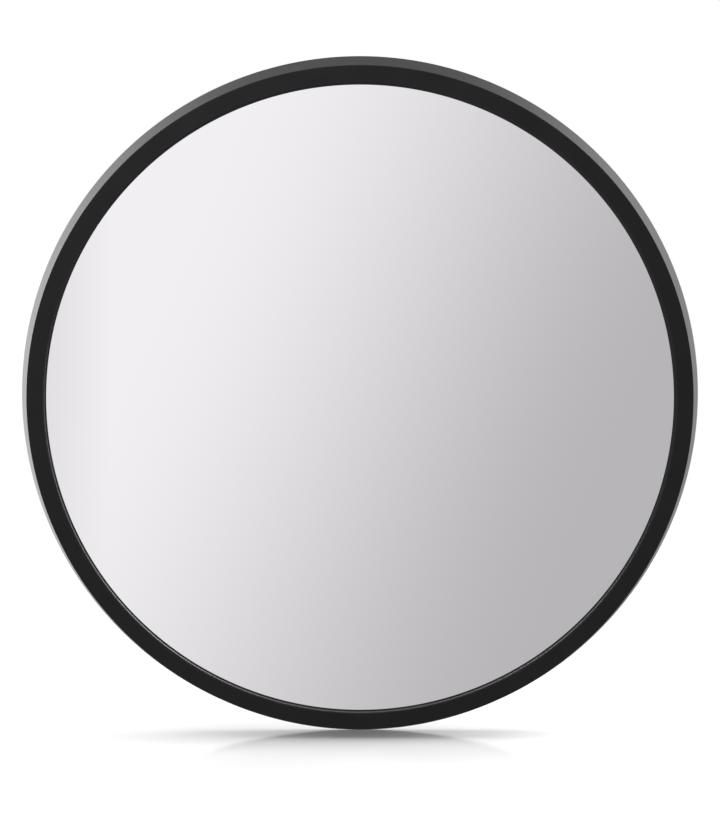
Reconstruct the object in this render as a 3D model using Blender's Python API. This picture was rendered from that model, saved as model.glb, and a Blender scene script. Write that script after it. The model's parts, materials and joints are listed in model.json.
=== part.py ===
"""Convex security mirror, 450 mm across, on a telescopic wall arm with a ball joint.

Metres, +Z up. The wall is the plane Y = 0, the origin is the middle of the wall plate's back, and
the mirror faces -Y. Lengths along the arm are Y values; lengths inside the mirror head are depths
behind the flat front face of its bezel. Every moving group hangs on an empty that sits on its joint.
"""

from math import atan2, cos, pi, radians, sin, sqrt

import bmesh
import bpy
from mathutils import Matrix, Vector

GAP = 0.0003  # between any two pieces that touch on the real object
PAST = 0.001  # how far a cutter runs past the wall that it cuts
WELD = 2e-6  # points closer than this are one, after a cut or a union

# Facets around the large rings, the arm and socket, the washers and pins, and the small fasteners.
RING_SIDES = 48
ROUND_SIDES = 24
SMALL_SIDES = 16
FINE_SIDES = 10
SMOOTH_ANGLE = radians(35)

# Mirror head: radii from its axis and depths behind the bezel's front face.
BEZEL_REAR_RADIUS = 0.225
BEZEL_FACE_RADIUS = 0.2187
BEZEL_LIP_RADIUS = 0.2064
BEZEL_DEPTH = 0.034
BEZEL_WALL = 0.0026
BEZEL_FACE_WALL = 0.0022
BEZEL_EDGE = 0.0007

DOME_RISE = 0.030
DOME_WALL = 0.003
DOME_RADIUS = BEZEL_LIP_RADIUS - GAP
DOME_EDGE_DEPTH = 0.0020
DOME_SHOULDER = 0.0018
DOME_FLANGE_RADIUS = 0.2155
DOME_FLANGE_DEPTH = 0.0042
DOME_STEPS = 6
GASKET_RADII = (0.2096, 0.2144)
FOAM_RADII = (0.2096, 0.2146)
FOAM_THICKNESS = 0.0035

COVER_WALL = 0.0025
COVER_FLANGE_RADIUS = 0.2210
COVER_FLANGE_DEPTH = 0.0316
COVER_CONE_RADIUS = 0.204
COVER_PAD_RADIUS = 0.076
COVER_PAD_DEPTH = 0.0446
COVER_RIB_RADII = (0.2099, 0.2124)
STIFFENER_COUNT = 12
STIFFENER_WIDTH = 0.0024
STIFFENER_HEIGHT = 0.0016
STIFFENER_SUNK = 0.0010
STIFFENER_RADII = (0.084, 0.198)

COVER_SCREW_COUNT = 8
COVER_SCREW_CIRCLE = 0.2176
COVER_SCREW_RADIUS = 0.0016
COVER_SCREW_LENGTH = 0.0125
COVER_SCREW_HEAD = (0.0031, 0.0018)
BOSS_RADIUS = 0.0040
BOSS_DEPTH = 0.016
PILOT_DEPTH = 0.018

# Ball joint: radii and distances from the ball's centre, negative towards the mirror.
BALL_RADIUS = 0.0125
SEAT_RADII = (0.0129, 0.0153)
SOCKET_SPHERE = 0.0157
SOCKET_BASE = -0.019
SOCKET_FLANGE_RADIUS = 0.042
SOCKET_FLANGE_WALL = 0.005
SOCKET_FLANGE_EDGE = 0.001
SOCKET_ROOT_RADIUS = 0.0265
SOCKET_SHOULDER_RADIUS = 0.0215
SOCKET_SHOULDER_HEIGHT = 0.005
SOCKET_NECK_RADIUS = 0.0183
SOCKET_RIM = 0.0005
SEAT_RING_ANGLES = (radians(58), radians(86))
PAD_ANGLE = radians(122)
COLLAR_RADIUS = 0.0225
COLLAR_FRONT = -0.006
COLLAR_REAR = 0.0105
COLLAR_CHAMFER = 0.002
COLLAR_SHOULDER = 0.0008
COLLAR_MOUTH_ANGLE = radians(56)
COLLAR_MOUTH_LIP = 0.0012
COLLAR_FLUTES = 12
FLUTE_RADIUS = 0.0022
STUD_RADIUS = 0.005
LOCKNUT_START = 0.021
LOCKNUT_THICKNESS = 0.006
LOCKNUT_FLATS = 0.017

INSERT_LENGTH = 0.018
INSERT_FLANGE = 0.002
STUD_IN_INSERT = 0.016

SOCKET_SCREW_COUNT = 4
SOCKET_SCREW_CIRCLE = 0.033
SOCKET_SCREW_RADIUS = 0.0025
SOCKET_SCREW_HEAD = (0.0046, 0.0032)
SOCKET_NUT_FLATS = 0.008
SOCKET_NUT_THICKNESS = 0.004
BACKING_PLATE_RADIUS = 0.055
BACKING_PLATE_WALL = 0.002

# Arm and wall bracket: Y values and radii. The inner tube slides out by up to 55 mm.
PIVOT_Y = -0.022
BALL_Y = -0.194
OUTER_TUBE_Y = (-0.136, -0.036)
OUTER_TUBE_RADII = (0.0095, 0.011)
INNER_TUBE_REAR_Y = -0.060
INNER_TUBE_RADII = (0.0065, 0.008)
TAIL_GUIDE_PLUG = 0.006
TAIL_GUIDE_HEAD = 0.003
BUSH_LENGTH = 0.020
BUSH_FLANGE = 0.002
SPIGOT_LENGTH = 0.0103
SPIGOT_COLLAR = 0.0025
TUBE_PIN_Y = -0.041
TUBE_PIN_RADIUS = 0.002
TUBE_PIN_HALF_LENGTH = 0.0109
CLAMP_Y = -0.126
CLAMP_SCREW_RADIUS = 0.003
CLAMP_BOSS_RADIUS = 0.007
CLAMP_BOSS_Z = -0.017
CLAMP_KNOB_Z = (-0.032, -0.020)
CLAMP_KNOB_RADIUS = 0.013
CLAMP_KNOB_LOBES = 6
CLAMP_KNOB_SCALLOP = 0.0012
CLAMP_KNOB_CAP = 0.003

WALL_PLATE_SIZE = (0.070, 0.110)
WALL_PLATE_WALL = 0.003
WALL_PLATE_CORNER = 0.008
WALL_SLOT_PLACE = (0.025, 0.042)
WALL_SLOT_SIZE = (0.007, 0.012)
EAR_HALF_GAP = 0.0123
EAR_WALL = 0.003
EAR_RADIUS = 0.012
PIVOT_BOLT_RADIUS = 0.004
PIVOT_BOLT_FLATS = 0.013
PIVOT_BOLT_HEAD = 0.0053
PIVOT_BOLT_END_Z = -0.0265
PIVOT_NUT_THICKNESS = 0.0075
WASHER_RADIUS = 0.008
WASHER_WALL = 0.0016
FRICTION_WASHER_RADIUS = 0.010
FRICTION_WASHER_WALL = 0.0015
KNUCKLE_RADIUS = 0.011
KNUCKLE_HALF_WIDTH = 0.008
KNUCKLE_HALF_HEIGHT = 0.0102

BALL_DEPTH = COVER_PAD_DEPTH + GAP - SOCKET_BASE  # the ball's centre behind the bezel's face

BLACK_ABS = ("black_abs", (0.021, 0.021, 0.023), 0.42, 0.0)
MIRROR = ("mirror_acrylic", (0.80, 0.79, 0.81), 0.03, 1.0)
RUBBER = ("black_rubber", (0.015, 0.015, 0.015), 0.80, 0.0)
FOAM = ("grey_foam", (0.09, 0.09, 0.095), 0.95, 0.0)
STEEL = ("zinc_steel", (0.62, 0.62, 0.60), 0.32, 1.0)
BLACK_STEEL = ("black_steel", (0.020, 0.020, 0.021), 0.48, 0.2)
BALL_STEEL = ("polished_steel", (0.72, 0.72, 0.73), 0.12, 1.0)
NYLON = ("natural_nylon", (0.66, 0.64, 0.58), 0.50, 0.0)
GLASS_NYLON = ("black_nylon", (0.026, 0.026, 0.027), 0.55, 0.0)


def material(spec):
    name, colour, roughness, metallic = spec
    found = bpy.data.materials.get(name)
    if found:
        return found
    made = bpy.data.materials.new(name)
    made.use_nodes = True
    shader = made.node_tree.nodes["Principled BSDF"]
    shader.inputs["Base Color"].default_value = (*colour, 1.0)
    shader.inputs["Roughness"].default_value = roughness
    shader.inputs["Metallic"].default_value = metallic
    return made


def pivot(name, location, parent=None):
    """An empty on a joint's axis. The pieces of one moving group are its children."""
    empty = bpy.data.objects.new(name, None)
    empty.empty_display_size = 0.02
    bpy.context.collection.objects.link(empty)
    if parent:
        empty.parent = parent
        location = Vector(location) - parent.matrix_world.translation
    empty.location = location
    bpy.context.view_layer.update()
    return empty


def place(name, mesh, group, finish, location=(0, 0, 0), turn=0.0, smooth=True):
    """A piece of a group. Turn is its angle about the group's Y axis."""
    piece = bpy.data.objects.new(name, mesh)
    bpy.context.collection.objects.link(piece)
    piece.parent = group
    piece.matrix_basis = Matrix.Rotation(turn, 4, "Y") @ Matrix.Translation(location)
    if not mesh.materials:
        mesh.materials.append(material(finish))
    if smooth:
        mesh.shade_smooth()
        mesh.set_sharp_from_angle(angle=SMOOTH_ANGLE)
    return piece


def arc(radius, start, end, steps, centre=(0.0, 0.0)):
    """Points of a circle in (radius, depth), by angle from the +depth direction."""
    angles = [start + (end - start) * i / steps for i in range(steps + 1)]
    return [(centre[0] + radius * sin(a), centre[1] + radius * cos(a)) for a in angles]


def cap_arc(rim_radius, rim_depth, rise, steps):
    """A shallow spherical cap's outline, from its rim to its middle, rising towards -depth."""
    sphere = (rim_radius**2 + rise**2) / (2 * rise)
    half_angle = atan2(rim_radius, sphere - rise)
    centre = (0.0, rim_depth + sphere - rise)
    return arc(sphere, pi - half_angle, pi, steps, centre)


def finished(bm, name):
    bmesh.ops.remove_doubles(bm, verts=bm.verts, dist=1e-7)
    bmesh.ops.dissolve_degenerate(bm, edges=bm.edges, dist=1e-7)
    bmesh.ops.recalc_face_normals(bm, faces=bm.faces)
    mesh = bpy.data.meshes.new(name)
    bm.to_mesh(mesh)
    bm.free()
    return mesh


def turned(name, outline, sides, across=Matrix.Identity(4)):
    """A closed (radius, depth) outline turned about Y. Across then re-aims the axis."""
    bm = bmesh.new()
    points = [bm.verts.new((r, y, 0.0)) for r, y in outline]
    edges = [bm.edges.new((a, b)) for a, b in zip(points, points[1:] + points[:1])]
    turn = {"cent": (0, 0, 0), "axis": (0, 1, 0), "angle": 2 * pi, "steps": sides}
    bmesh.ops.spin(bm, geom=points + edges, use_merge=True, **turn)
    bmesh.ops.transform(bm, matrix=across, verts=bm.verts)
    return finished(bm, name)


def prism(name, outline, low, high, across=Matrix.Identity(4)):
    """A flat (x, y) outline carried from z = low to z = high. Across then re-aims it."""
    bm = bmesh.new()
    base = bm.faces.new([bm.verts.new((x, y, low)) for x, y in outline])
    top = bmesh.ops.extrude_face_region(bm, geom=[base])["geom"]
    moved = [v for v in top if isinstance(v, bmesh.types.BMVert)]
    bmesh.ops.translate(bm, vec=(0, 0, high - low), verts=moved)
    bmesh.ops.transform(bm, matrix=across, verts=bm.verts)
    return finished(bm, name)


UPRIGHT = Matrix.Rotation(pi / 2, 4, "X")  # carries a turned piece's axis from +Y to +Z, and +Z to -Y
TO_REAR = Matrix.Rotation(-pi / 2, 4, "X")  # carries a prism's height from +Z to +Y


def ring(inner, outer, start, end):
    return [(inner, start), (outer, start), (outer, end), (inner, end)]


def disc(radius, start, end):
    return ring(0.0, radius, start, end)


def regular(count, across_flats):
    """The corners of a regular polygon, such as a hexagon by its width across flats."""
    radius = across_flats / 2 / cos(pi / count)
    return [(radius * cos(a), radius * sin(a)) for a in around(count)]


def rounded_rectangle(width, height, corner, steps):
    """An outline with round corners, each of so many steps. A slot has corners of half its width."""
    points = []
    for quarter, (sx, sy) in enumerate(((1, 1), (-1, 1), (-1, -1), (1, -1))):
        for i in range(steps + 1):
            angle = pi / 2 * (quarter + i / steps)
            x = sx * (width / 2 - corner) + corner * cos(angle)
            y = sy * (height / 2 - corner) + corner * sin(angle)
            if (x, y) not in points:
                points.append((x, y))
    return points


def around(count, start=0.0):
    return [start + 2 * pi * i / count for i in range(count)]


def together(name, meshes, places):
    """One mesh holding a copy of each mesh at its matrix, for use as a cutter or an addition."""
    bm = bmesh.new()
    for mesh, matrix in zip(meshes, places):
        copy = mesh.copy()
        copy.transform(matrix)
        bm.from_mesh(copy)
        bpy.data.meshes.remove(copy)
    return finished(bm, name)


def boolean(piece, operation, mesh):
    """Joins a helper mesh to a piece, or cuts it away. The helper follows the piece unseen."""
    helper = bpy.data.objects.new(f"{piece.name}_{operation.lower()}", mesh)
    bpy.context.collection.objects.link(helper)
    helper.parent = piece.parent
    helper.matrix_basis = piece.matrix_basis
    helper.hide_render = True
    helper.display_type = "WIRE"
    modifier = piece.modifiers.new(operation.title(), "BOOLEAN")
    modifier.operation = operation
    modifier.solver = "EXACT"
    modifier.object = helper
    weld = piece.modifiers.new("Weld", "WELD")
    weld.merge_threshold = WELD


def rods(name, radius, low, high, places, sides=FINE_SIDES):
    """Equal rods along Y, one at each place."""
    rod = turned(name, disc(radius, low, high), sides)
    return together(name, [rod] * len(places), places)


def on_circle(circle, angles):
    """Places on a circle about Y, each turned to face outwards."""
    return [Matrix.Rotation(a, 4, "Y") @ Matrix.Translation((circle, 0, 0)) for a in angles]


def head_y(depth):
    """A depth behind the bezel's face as a Y value in the mirror group, whose origin is the ball."""
    return depth - BALL_DEPTH


def in_head(outline):
    return [(r, head_y(d)) for r, d in outline]


def bezel_radius(depth):
    """The flared outer radius of the bezel at a depth."""
    return BEZEL_FACE_RADIUS + (BEZEL_REAR_RADIUS - BEZEL_FACE_RADIUS) * depth / BEZEL_DEPTH


def bezel(group, screw_angles):
    edge = BEZEL_EDGE
    inner_edge = arc(edge, 1.5 * pi, pi, 2, (BEZEL_LIP_RADIUS + edge, edge))
    outer_edge = arc(edge, pi, 0.5 * pi, 2, (bezel_radius(edge) - edge, edge))
    outline = [(BEZEL_LIP_RADIUS, BEZEL_FACE_WALL)] + inner_edge + outer_edge
    outline += [
        (BEZEL_REAR_RADIUS, BEZEL_DEPTH),
        (BEZEL_REAR_RADIUS - BEZEL_WALL, BEZEL_DEPTH),
        (bezel_radius(BEZEL_FACE_WALL) - BEZEL_WALL, BEZEL_FACE_WALL),
    ]
    piece = place("front_bezel", turned("front_bezel", in_head(outline), RING_SIDES), group, BLACK_ABS)

    boss_rear = COVER_FLANGE_DEPTH - COVER_WALL - GAP
    places = on_circle(COVER_SCREW_CIRCLE, screw_angles)
    bosses = rods("bosses", BOSS_RADIUS, head_y(BOSS_DEPTH), head_y(boss_rear), places, SMALL_SIDES)
    boolean(piece, "UNION", bosses)
    pilots = rods("pilots", COVER_SCREW_RADIUS + GAP, head_y(PILOT_DEPTH), head_y(boss_rear + PAST), places)
    boolean(piece, "DIFFERENCE", pilots)


def dome(group):
    """The convex mirror: one wall from its middle to a flat flange behind the bezel's lip."""
    flange_rear = DOME_FLANGE_DEPTH + DOME_WALL
    back_rim = DOME_EDGE_DEPTH + DOME_WALL
    front = cap_arc(DOME_RADIUS, DOME_EDGE_DEPTH, DOME_RISE, DOME_STEPS)
    back = cap_arc(DOME_RADIUS - DOME_SHOULDER, back_rim, DOME_RISE, DOME_STEPS)
    flange = [
        (DOME_RADIUS, flange_rear),
        (DOME_FLANGE_RADIUS, flange_rear),
        (DOME_FLANGE_RADIUS, DOME_FLANGE_DEPTH),
        (DOME_RADIUS + DOME_SHOULDER, DOME_FLANGE_DEPTH),
    ]
    outline = back[::-1] + flange + front
    place("mirror_dome", turned("mirror_dome", in_head(outline), RING_SIDES), group, MIRROR)

    gasket = ring(*GASKET_RADII, BEZEL_FACE_WALL + GAP, DOME_FLANGE_DEPTH - GAP)
    place("dome_gasket", turned("dome_gasket", in_head(gasket), RING_SIDES), group, RUBBER)
    foam_front = flange_rear + GAP
    foam = ring(*FOAM_RADII, foam_front, foam_front + FOAM_THICKNESS)
    place("foam_ring", turned("foam_ring", in_head(foam), RING_SIDES), group, FOAM)
    return foam_front + FOAM_THICKNESS


def cover(group, foam_rear, screw_angles, socket_angles):
    wall = COVER_WALL
    flange_front = COVER_FLANGE_DEPTH - wall
    pad_front = COVER_PAD_DEPTH - wall
    rib_front = foam_rear + GAP
    outline = [
        (0.0, COVER_PAD_DEPTH),
        (COVER_PAD_RADIUS, COVER_PAD_DEPTH),
        (COVER_CONE_RADIUS, COVER_FLANGE_DEPTH),
        (COVER_FLANGE_RADIUS, COVER_FLANGE_DEPTH),
        (COVER_FLANGE_RADIUS, flange_front),
        (COVER_RIB_RADII[1], flange_front),
        (COVER_RIB_RADII[1], rib_front),
        (COVER_RIB_RADII[0], rib_front),
        (COVER_RIB_RADII[0], flange_front),
        (COVER_CONE_RADIUS, flange_front),
        (COVER_PAD_RADIUS, pad_front),
        (0.0, pad_front),
    ]
    piece = place("rear_cover", turned("rear_cover", in_head(outline), RING_SIDES), group, BLACK_ABS)
    boolean(piece, "UNION", stiffeners())

    places = on_circle(COVER_SCREW_CIRCLE, screw_angles)
    through = (head_y(flange_front - PAST), head_y(COVER_FLANGE_DEPTH + PAST))
    boolean(piece, "DIFFERENCE", rods("rim_holes", COVER_SCREW_RADIUS + GAP, *through, places))
    places = on_circle(SOCKET_SCREW_CIRCLE, socket_angles)
    through = (head_y(pad_front - PAST), head_y(COVER_PAD_DEPTH + PAST))
    boolean(piece, "DIFFERENCE", rods("pad_holes", SOCKET_SCREW_RADIUS + GAP, *through, places))


def stiffeners():
    """Thin ribs that run straight out along the cover's cone, partly sunk in it."""
    slope = (COVER_PAD_DEPTH - COVER_FLANGE_DEPTH) / (COVER_CONE_RADIUS - COVER_PAD_RADIUS)
    side = []
    for radius, proud in (
        (STIFFENER_RADII[0], STIFFENER_HEIGHT),
        (STIFFENER_RADII[0], -STIFFENER_SUNK),
        (STIFFENER_RADII[1], -STIFFENER_SUNK),
        (STIFFENER_RADII[1], STIFFENER_HEIGHT),
    ):
        cone = COVER_PAD_DEPTH - slope * (radius - COVER_PAD_RADIUS)
        side.append((radius, head_y(cone + proud)))
    rib = prism("stiffener", side, -STIFFENER_WIDTH / 2, STIFFENER_WIDTH / 2)
    places = [Matrix.Rotation(a, 4, "Y") for a in around(STIFFENER_COUNT)]
    return together("stiffeners", [rib] * STIFFENER_COUNT, places)


def pan_head_screw(name, radius, length, head):
    """Its seat is at y = 0, the shank runs to -length and the head rises towards +Y."""
    head_radius, head_height = head
    outline = [
        (0.0, -length),
        (radius, radius - length),
        (radius, 0.0),
        (head_radius, 0.0),
        (head_radius, head_height / 2),
        (head_radius * 0.75, head_height),
        (0.0, head_height),
    ]
    return turned(name, outline, FINE_SIDES)


def cover_screws(group, angles):
    seat = head_y(COVER_FLANGE_DEPTH + GAP)
    screw = pan_head_screw("cover_screw", COVER_SCREW_RADIUS, COVER_SCREW_LENGTH, COVER_SCREW_HEAD)
    for i, angle in enumerate(angles, 1):
        place(f"cover_screw_{i}", screw, group, STEEL, (COVER_SCREW_CIRCLE, seat, 0), angle)


def socket_fasteners(group, angles):
    """The steel disc inside the cover, and the screws and nuts that clamp the socket's flange to it."""
    plate_rear = COVER_PAD_DEPTH - COVER_WALL - GAP
    plate_front = plate_rear - BACKING_PLATE_WALL
    disc_outline = in_head(disc(BACKING_PLATE_RADIUS, plate_front, plate_rear))
    plate = place("backing_plate", turned("backing_plate", disc_outline, ROUND_SIDES), group, STEEL)
    through = (head_y(plate_front - PAST), head_y(plate_rear + PAST))
    holes = rods("plate_holes", SOCKET_SCREW_RADIUS + GAP, *through, on_circle(SOCKET_SCREW_CIRCLE, angles))
    boolean(plate, "DIFFERENCE", holes)

    seat = SOCKET_BASE + SOCKET_FLANGE_WALL + GAP
    nut_rear = head_y(plate_front - GAP)
    nut_front = nut_rear - SOCKET_NUT_THICKNESS
    length = seat - nut_front + SOCKET_SCREW_RADIUS
    screw = pan_head_screw("socket_screw", SOCKET_SCREW_RADIUS, length, SOCKET_SCREW_HEAD)
    nut = prism("socket_nut", regular(6, SOCKET_NUT_FLATS), nut_front, nut_rear, TO_REAR)
    bore = disc(SOCKET_SCREW_RADIUS + GAP, nut_front - PAST, nut_rear + PAST)
    for i, angle in enumerate(angles, 1):
        place(f"socket_screw_{i}", screw, group, STEEL, (SOCKET_SCREW_CIRCLE, seat, 0), angle)
        piece = place(f"socket_nut_{i}", nut, group, STEEL, (SOCKET_SCREW_CIRCLE, 0, 0), angle, smooth=False)
        boolean(piece, "DIFFERENCE", turned("socket_nut_bore", bore, FINE_SIDES))


def sphere_angle(radius, depth):
    """The angle from the axis at which a sphere about the ball's centre reaches a depth."""
    return atan2(sqrt(radius**2 - depth**2), depth)


def socket_housing(group, angles):
    """A flanged cup with a threaded neck. Its bowl is concentric with the ball."""
    flange_rear = SOCKET_BASE + SOCKET_FLANGE_WALL
    shoulder = flange_rear + SOCKET_SHOULDER_HEIGHT
    bowl = arc(SOCKET_SPHERE, sphere_angle(SOCKET_SPHERE, SOCKET_RIM), pi, 5)
    outline = [
        (0.0, SOCKET_BASE),
        (SOCKET_FLANGE_RADIUS, SOCKET_BASE),
        (SOCKET_FLANGE_RADIUS, flange_rear - SOCKET_FLANGE_EDGE),
        (SOCKET_FLANGE_RADIUS - SOCKET_FLANGE_EDGE, flange_rear),
        (SOCKET_ROOT_RADIUS, flange_rear),
        (SOCKET_SHOULDER_RADIUS, shoulder),
        (SOCKET_NECK_RADIUS, shoulder),
        (SOCKET_NECK_RADIUS, SOCKET_RIM),
    ] + bowl
    piece = place("socket_housing", turned("socket_housing", outline, ROUND_SIDES), group, GLASS_NYLON)
    through = (SOCKET_BASE - PAST, flange_rear + PAST)
    holes = rods("flange_holes", SOCKET_SCREW_RADIUS + GAP, *through, on_circle(SOCKET_SCREW_CIRCLE, angles))
    boolean(piece, "DIFFERENCE", holes)


def lock_collar(group):
    """Screws on the housing's neck. Its mouth is concentric with the ball and holds it in."""
    bore = SOCKET_NECK_RADIUS + GAP
    mouth = arc(SOCKET_SPHERE, COLLAR_MOUTH_ANGLE, sphere_angle(SOCKET_SPHERE, COLLAR_SHOULDER), 3)
    outline = [
        (bore, COLLAR_FRONT),
        (COLLAR_RADIUS, COLLAR_FRONT),
        (COLLAR_RADIUS, COLLAR_REAR - COLLAR_CHAMFER),
        (COLLAR_RADIUS - COLLAR_CHAMFER, COLLAR_REAR),
        (mouth[0][0] + COLLAR_MOUTH_LIP, COLLAR_REAR),
    ]
    outline += mouth + [(bore, COLLAR_SHOULDER)]
    piece = place("lock_collar", turned("lock_collar", outline, ROUND_SIDES), group, GLASS_NYLON)
    places = on_circle(COLLAR_RADIUS + FLUTE_RADIUS / 2, around(COLLAR_FLUTES, pi / ROUND_SIDES))
    flutes = rods("flutes", FLUTE_RADIUS, COLLAR_FRONT - PAST, COLLAR_REAR + PAST, places, 8)
    boolean(piece, "DIFFERENCE", flutes)


def ball_seats(ring_group, pad_group):
    inner, outer = SEAT_RADII
    low, high = SEAT_RING_ANGLES
    outline = arc(outer, low, high, 3) + arc(inner, high, low, 3)
    place("ball_seat_ring", turned("ball_seat_ring", outline, ROUND_SIDES), ring_group, NYLON)
    outline = arc(outer, PAD_ANGLE, pi, 4) + arc(inner, pi, PAD_ANGLE, 4)
    place("friction_pad", turned("friction_pad", outline, ROUND_SIDES), pad_group, NYLON)


def ball_stud(group):
    """Ball, stud, locknut and threaded insert, about the ball's centre. Returns where the tube starts."""
    nut_end = LOCKNUT_START + LOCKNUT_THICKNESS
    insert = nut_end + GAP
    stud_end = insert + STUD_IN_INSERT
    ball = arc(BALL_RADIUS, pi, atan2(STUD_RADIUS, sqrt(BALL_RADIUS**2 - STUD_RADIUS**2)), 9)
    stud = [(STUD_RADIUS, stud_end - PAST), (STUD_RADIUS - PAST, stud_end), (0.0, stud_end)]
    place("ball_stud", turned("ball_stud", ball + stud, ROUND_SIDES), group, BALL_STEEL)

    bore = STUD_RADIUS + GAP
    nut = prism("stud_locknut", regular(6, LOCKNUT_FLATS), LOCKNUT_START, nut_end, TO_REAR)
    nut = place("stud_locknut", nut, group, STEEL, smooth=False)
    locknut_bore = disc(bore, LOCKNUT_START - PAST, nut_end + PAST)
    boolean(nut, "DIFFERENCE", turned("locknut_bore", locknut_bore, SMALL_SIDES))

    flange_end = insert + INSERT_FLANGE
    plug = INNER_TUBE_RADII[0] - GAP
    outline = [
        (bore, insert),
        (INNER_TUBE_RADII[1], insert),
        (INNER_TUBE_RADII[1], flange_end),
        (plug, flange_end),
        (plug, insert + INSERT_LENGTH),
        (bore, insert + INSERT_LENGTH),
    ]
    place("end_insert", turned("end_insert", outline, ROUND_SIDES), group, STEEL)
    return flange_end + GAP


def inner_arm(group, tube_front):
    tube_rear = INNER_TUBE_REAR_Y - BALL_Y
    tube = ring(*INNER_TUBE_RADII, tube_front, tube_rear)
    place("inner_tube", turned("inner_tube", tube, ROUND_SIDES), group, STEEL)
    plug = INNER_TUBE_RADII[0] - GAP
    guide = OUTER_TUBE_RADII[0] - GAP
    head = tube_rear + GAP
    outline = [
        (0.0, tube_rear - TAIL_GUIDE_PLUG),
        (plug, tube_rear - TAIL_GUIDE_PLUG),
        (plug, head),
        (guide, head),
        (guide, head + TAIL_GUIDE_HEAD),
        (0.0, head + TAIL_GUIDE_HEAD),
    ]
    place("tail_guide", turned("tail_guide", outline, ROUND_SIDES), group, NYLON)


def upright_rod(name, radius, y, low, high, sides=SMALL_SIDES):
    """A rod along Z at a Y value, in the outer arm's group, whose origin is the pivot."""
    aim = Matrix.Translation((0, y - PIVOT_Y, 0)) @ UPRIGHT
    return turned(name, disc(radius, low, high), sides, aim)


def outer_arm(group):
    """The outer tube with its clamp boss, its mouth bush, the cross pin and the knuckle."""
    front, rear = (y - PIVOT_Y for y in OUTER_TUBE_Y)
    bore, outside = OUTER_TUBE_RADII
    flat_below = Matrix.Rotation(pi / ROUND_SIDES, 4, "Y")  # no edge of the tube crosses a hole's middle
    tube = turned("outer_tube", disc(outside, front, rear), ROUND_SIDES, flat_below)
    tube = place("outer_tube", tube, group, BLACK_STEEL)
    boolean(tube, "UNION", upright_rod("boss", CLAMP_BOSS_RADIUS, CLAMP_Y, CLAMP_BOSS_Z, -bore / 2))
    clamp_hole = upright_rod("clamp_hole", CLAMP_SCREW_RADIUS + GAP, CLAMP_Y, CLAMP_BOSS_Z - PAST, 0.0)
    pin_end = outside + PAST
    pin_hole = upright_rod("pin_hole", TUBE_PIN_RADIUS + GAP, TUBE_PIN_Y, -pin_end, pin_end)
    tube_bore = turned("tube_bore", disc(bore, front - PAST, rear + PAST), ROUND_SIDES, flat_below)
    boolean(tube, "DIFFERENCE", tube_bore)
    boolean(tube, "DIFFERENCE", clamp_hole)
    boolean(tube, "DIFFERENCE", pin_hole)

    slide = INNER_TUBE_RADII[1] + GAP
    outline = [
        (slide, front + BUSH_LENGTH),
        (bore - GAP, front + BUSH_LENGTH),
        (bore - GAP, front - GAP),
        (outside, front - GAP),
        (outside, front - GAP - BUSH_FLANGE),
        (slide, front - GAP - BUSH_FLANGE),
    ]
    bush = place("guide_bush", turned("guide_bush", outline, ROUND_SIDES), group, GLASS_NYLON)
    boolean(bush, "DIFFERENCE", clamp_hole)

    pin = upright_rod("tube_pin", TUBE_PIN_RADIUS, TUBE_PIN_Y, -TUBE_PIN_HALF_LENGTH, TUBE_PIN_HALF_LENGTH)
    place("tube_pin", pin, group, STEEL)
    knuckle(group, rear + GAP, pin_hole)


def knuckle(group, face, pin_hole):
    """A barrel on the pivot bolt, a block, and a spigot inside the outer tube, whose end is at face."""
    height = KNUCKLE_HALF_HEIGHT
    width = KNUCKLE_HALF_WIDTH
    block = prism("knuckle_block", [(-width, 0), (width, 0), (width, face), (-width, face)], -height, height)
    spigot = [
        (0.0, face + SPIGOT_COLLAR),
        (KNUCKLE_RADIUS, face + SPIGOT_COLLAR),
        (KNUCKLE_RADIUS, face),
        (OUTER_TUBE_RADII[0] - GAP, face),
        (OUTER_TUBE_RADII[0] - GAP, face - SPIGOT_LENGTH),
        (0.0, face - SPIGOT_LENGTH),
    ]
    barrel = turned("arm_knuckle", disc(KNUCKLE_RADIUS, -height, height), ROUND_SIDES, UPRIGHT)
    piece = place("arm_knuckle", barrel, group, BLACK_STEEL)
    boolean(piece, "UNION", block)
    boolean(piece, "UNION", turned("knuckle_spigot", spigot, ROUND_SIDES))
    bore = upright_rod("pivot_bore", PIVOT_BOLT_RADIUS + GAP, PIVOT_Y, -height - PAST, height + PAST)
    boolean(piece, "DIFFERENCE", bore)
    boolean(piece, "DIFFERENCE", pin_hole)


def clamp(screw_group, knob_group):
    """The hand screw under the outer tube, about its own axis, and the knob on its end."""
    low, high = CLAMP_KNOB_Z
    screw_end = low + CLAMP_KNOB_CAP
    tip = -INNER_TUBE_RADII[1] - GAP
    screw = turned("clamp_screw", disc(CLAMP_SCREW_RADIUS, screw_end, tip), SMALL_SIDES, UPRIGHT)
    place("clamp_screw", screw, screw_group, STEEL)

    lobed = []
    for angle in around(CLAMP_KNOB_LOBES * 6):
        radius = CLAMP_KNOB_RADIUS - CLAMP_KNOB_SCALLOP * (1 - cos(CLAMP_KNOB_LOBES * angle))
        lobed.append((radius * cos(angle), radius * sin(angle)))
    knob = place("clamp_knob", prism("clamp_knob", lobed, low, high), knob_group, GLASS_NYLON)
    hole = disc(CLAMP_SCREW_RADIUS + GAP, screw_end - GAP, high + PAST)
    boolean(knob, "DIFFERENCE", turned("knob_hole", hole, SMALL_SIDES, UPRIGHT))


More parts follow.
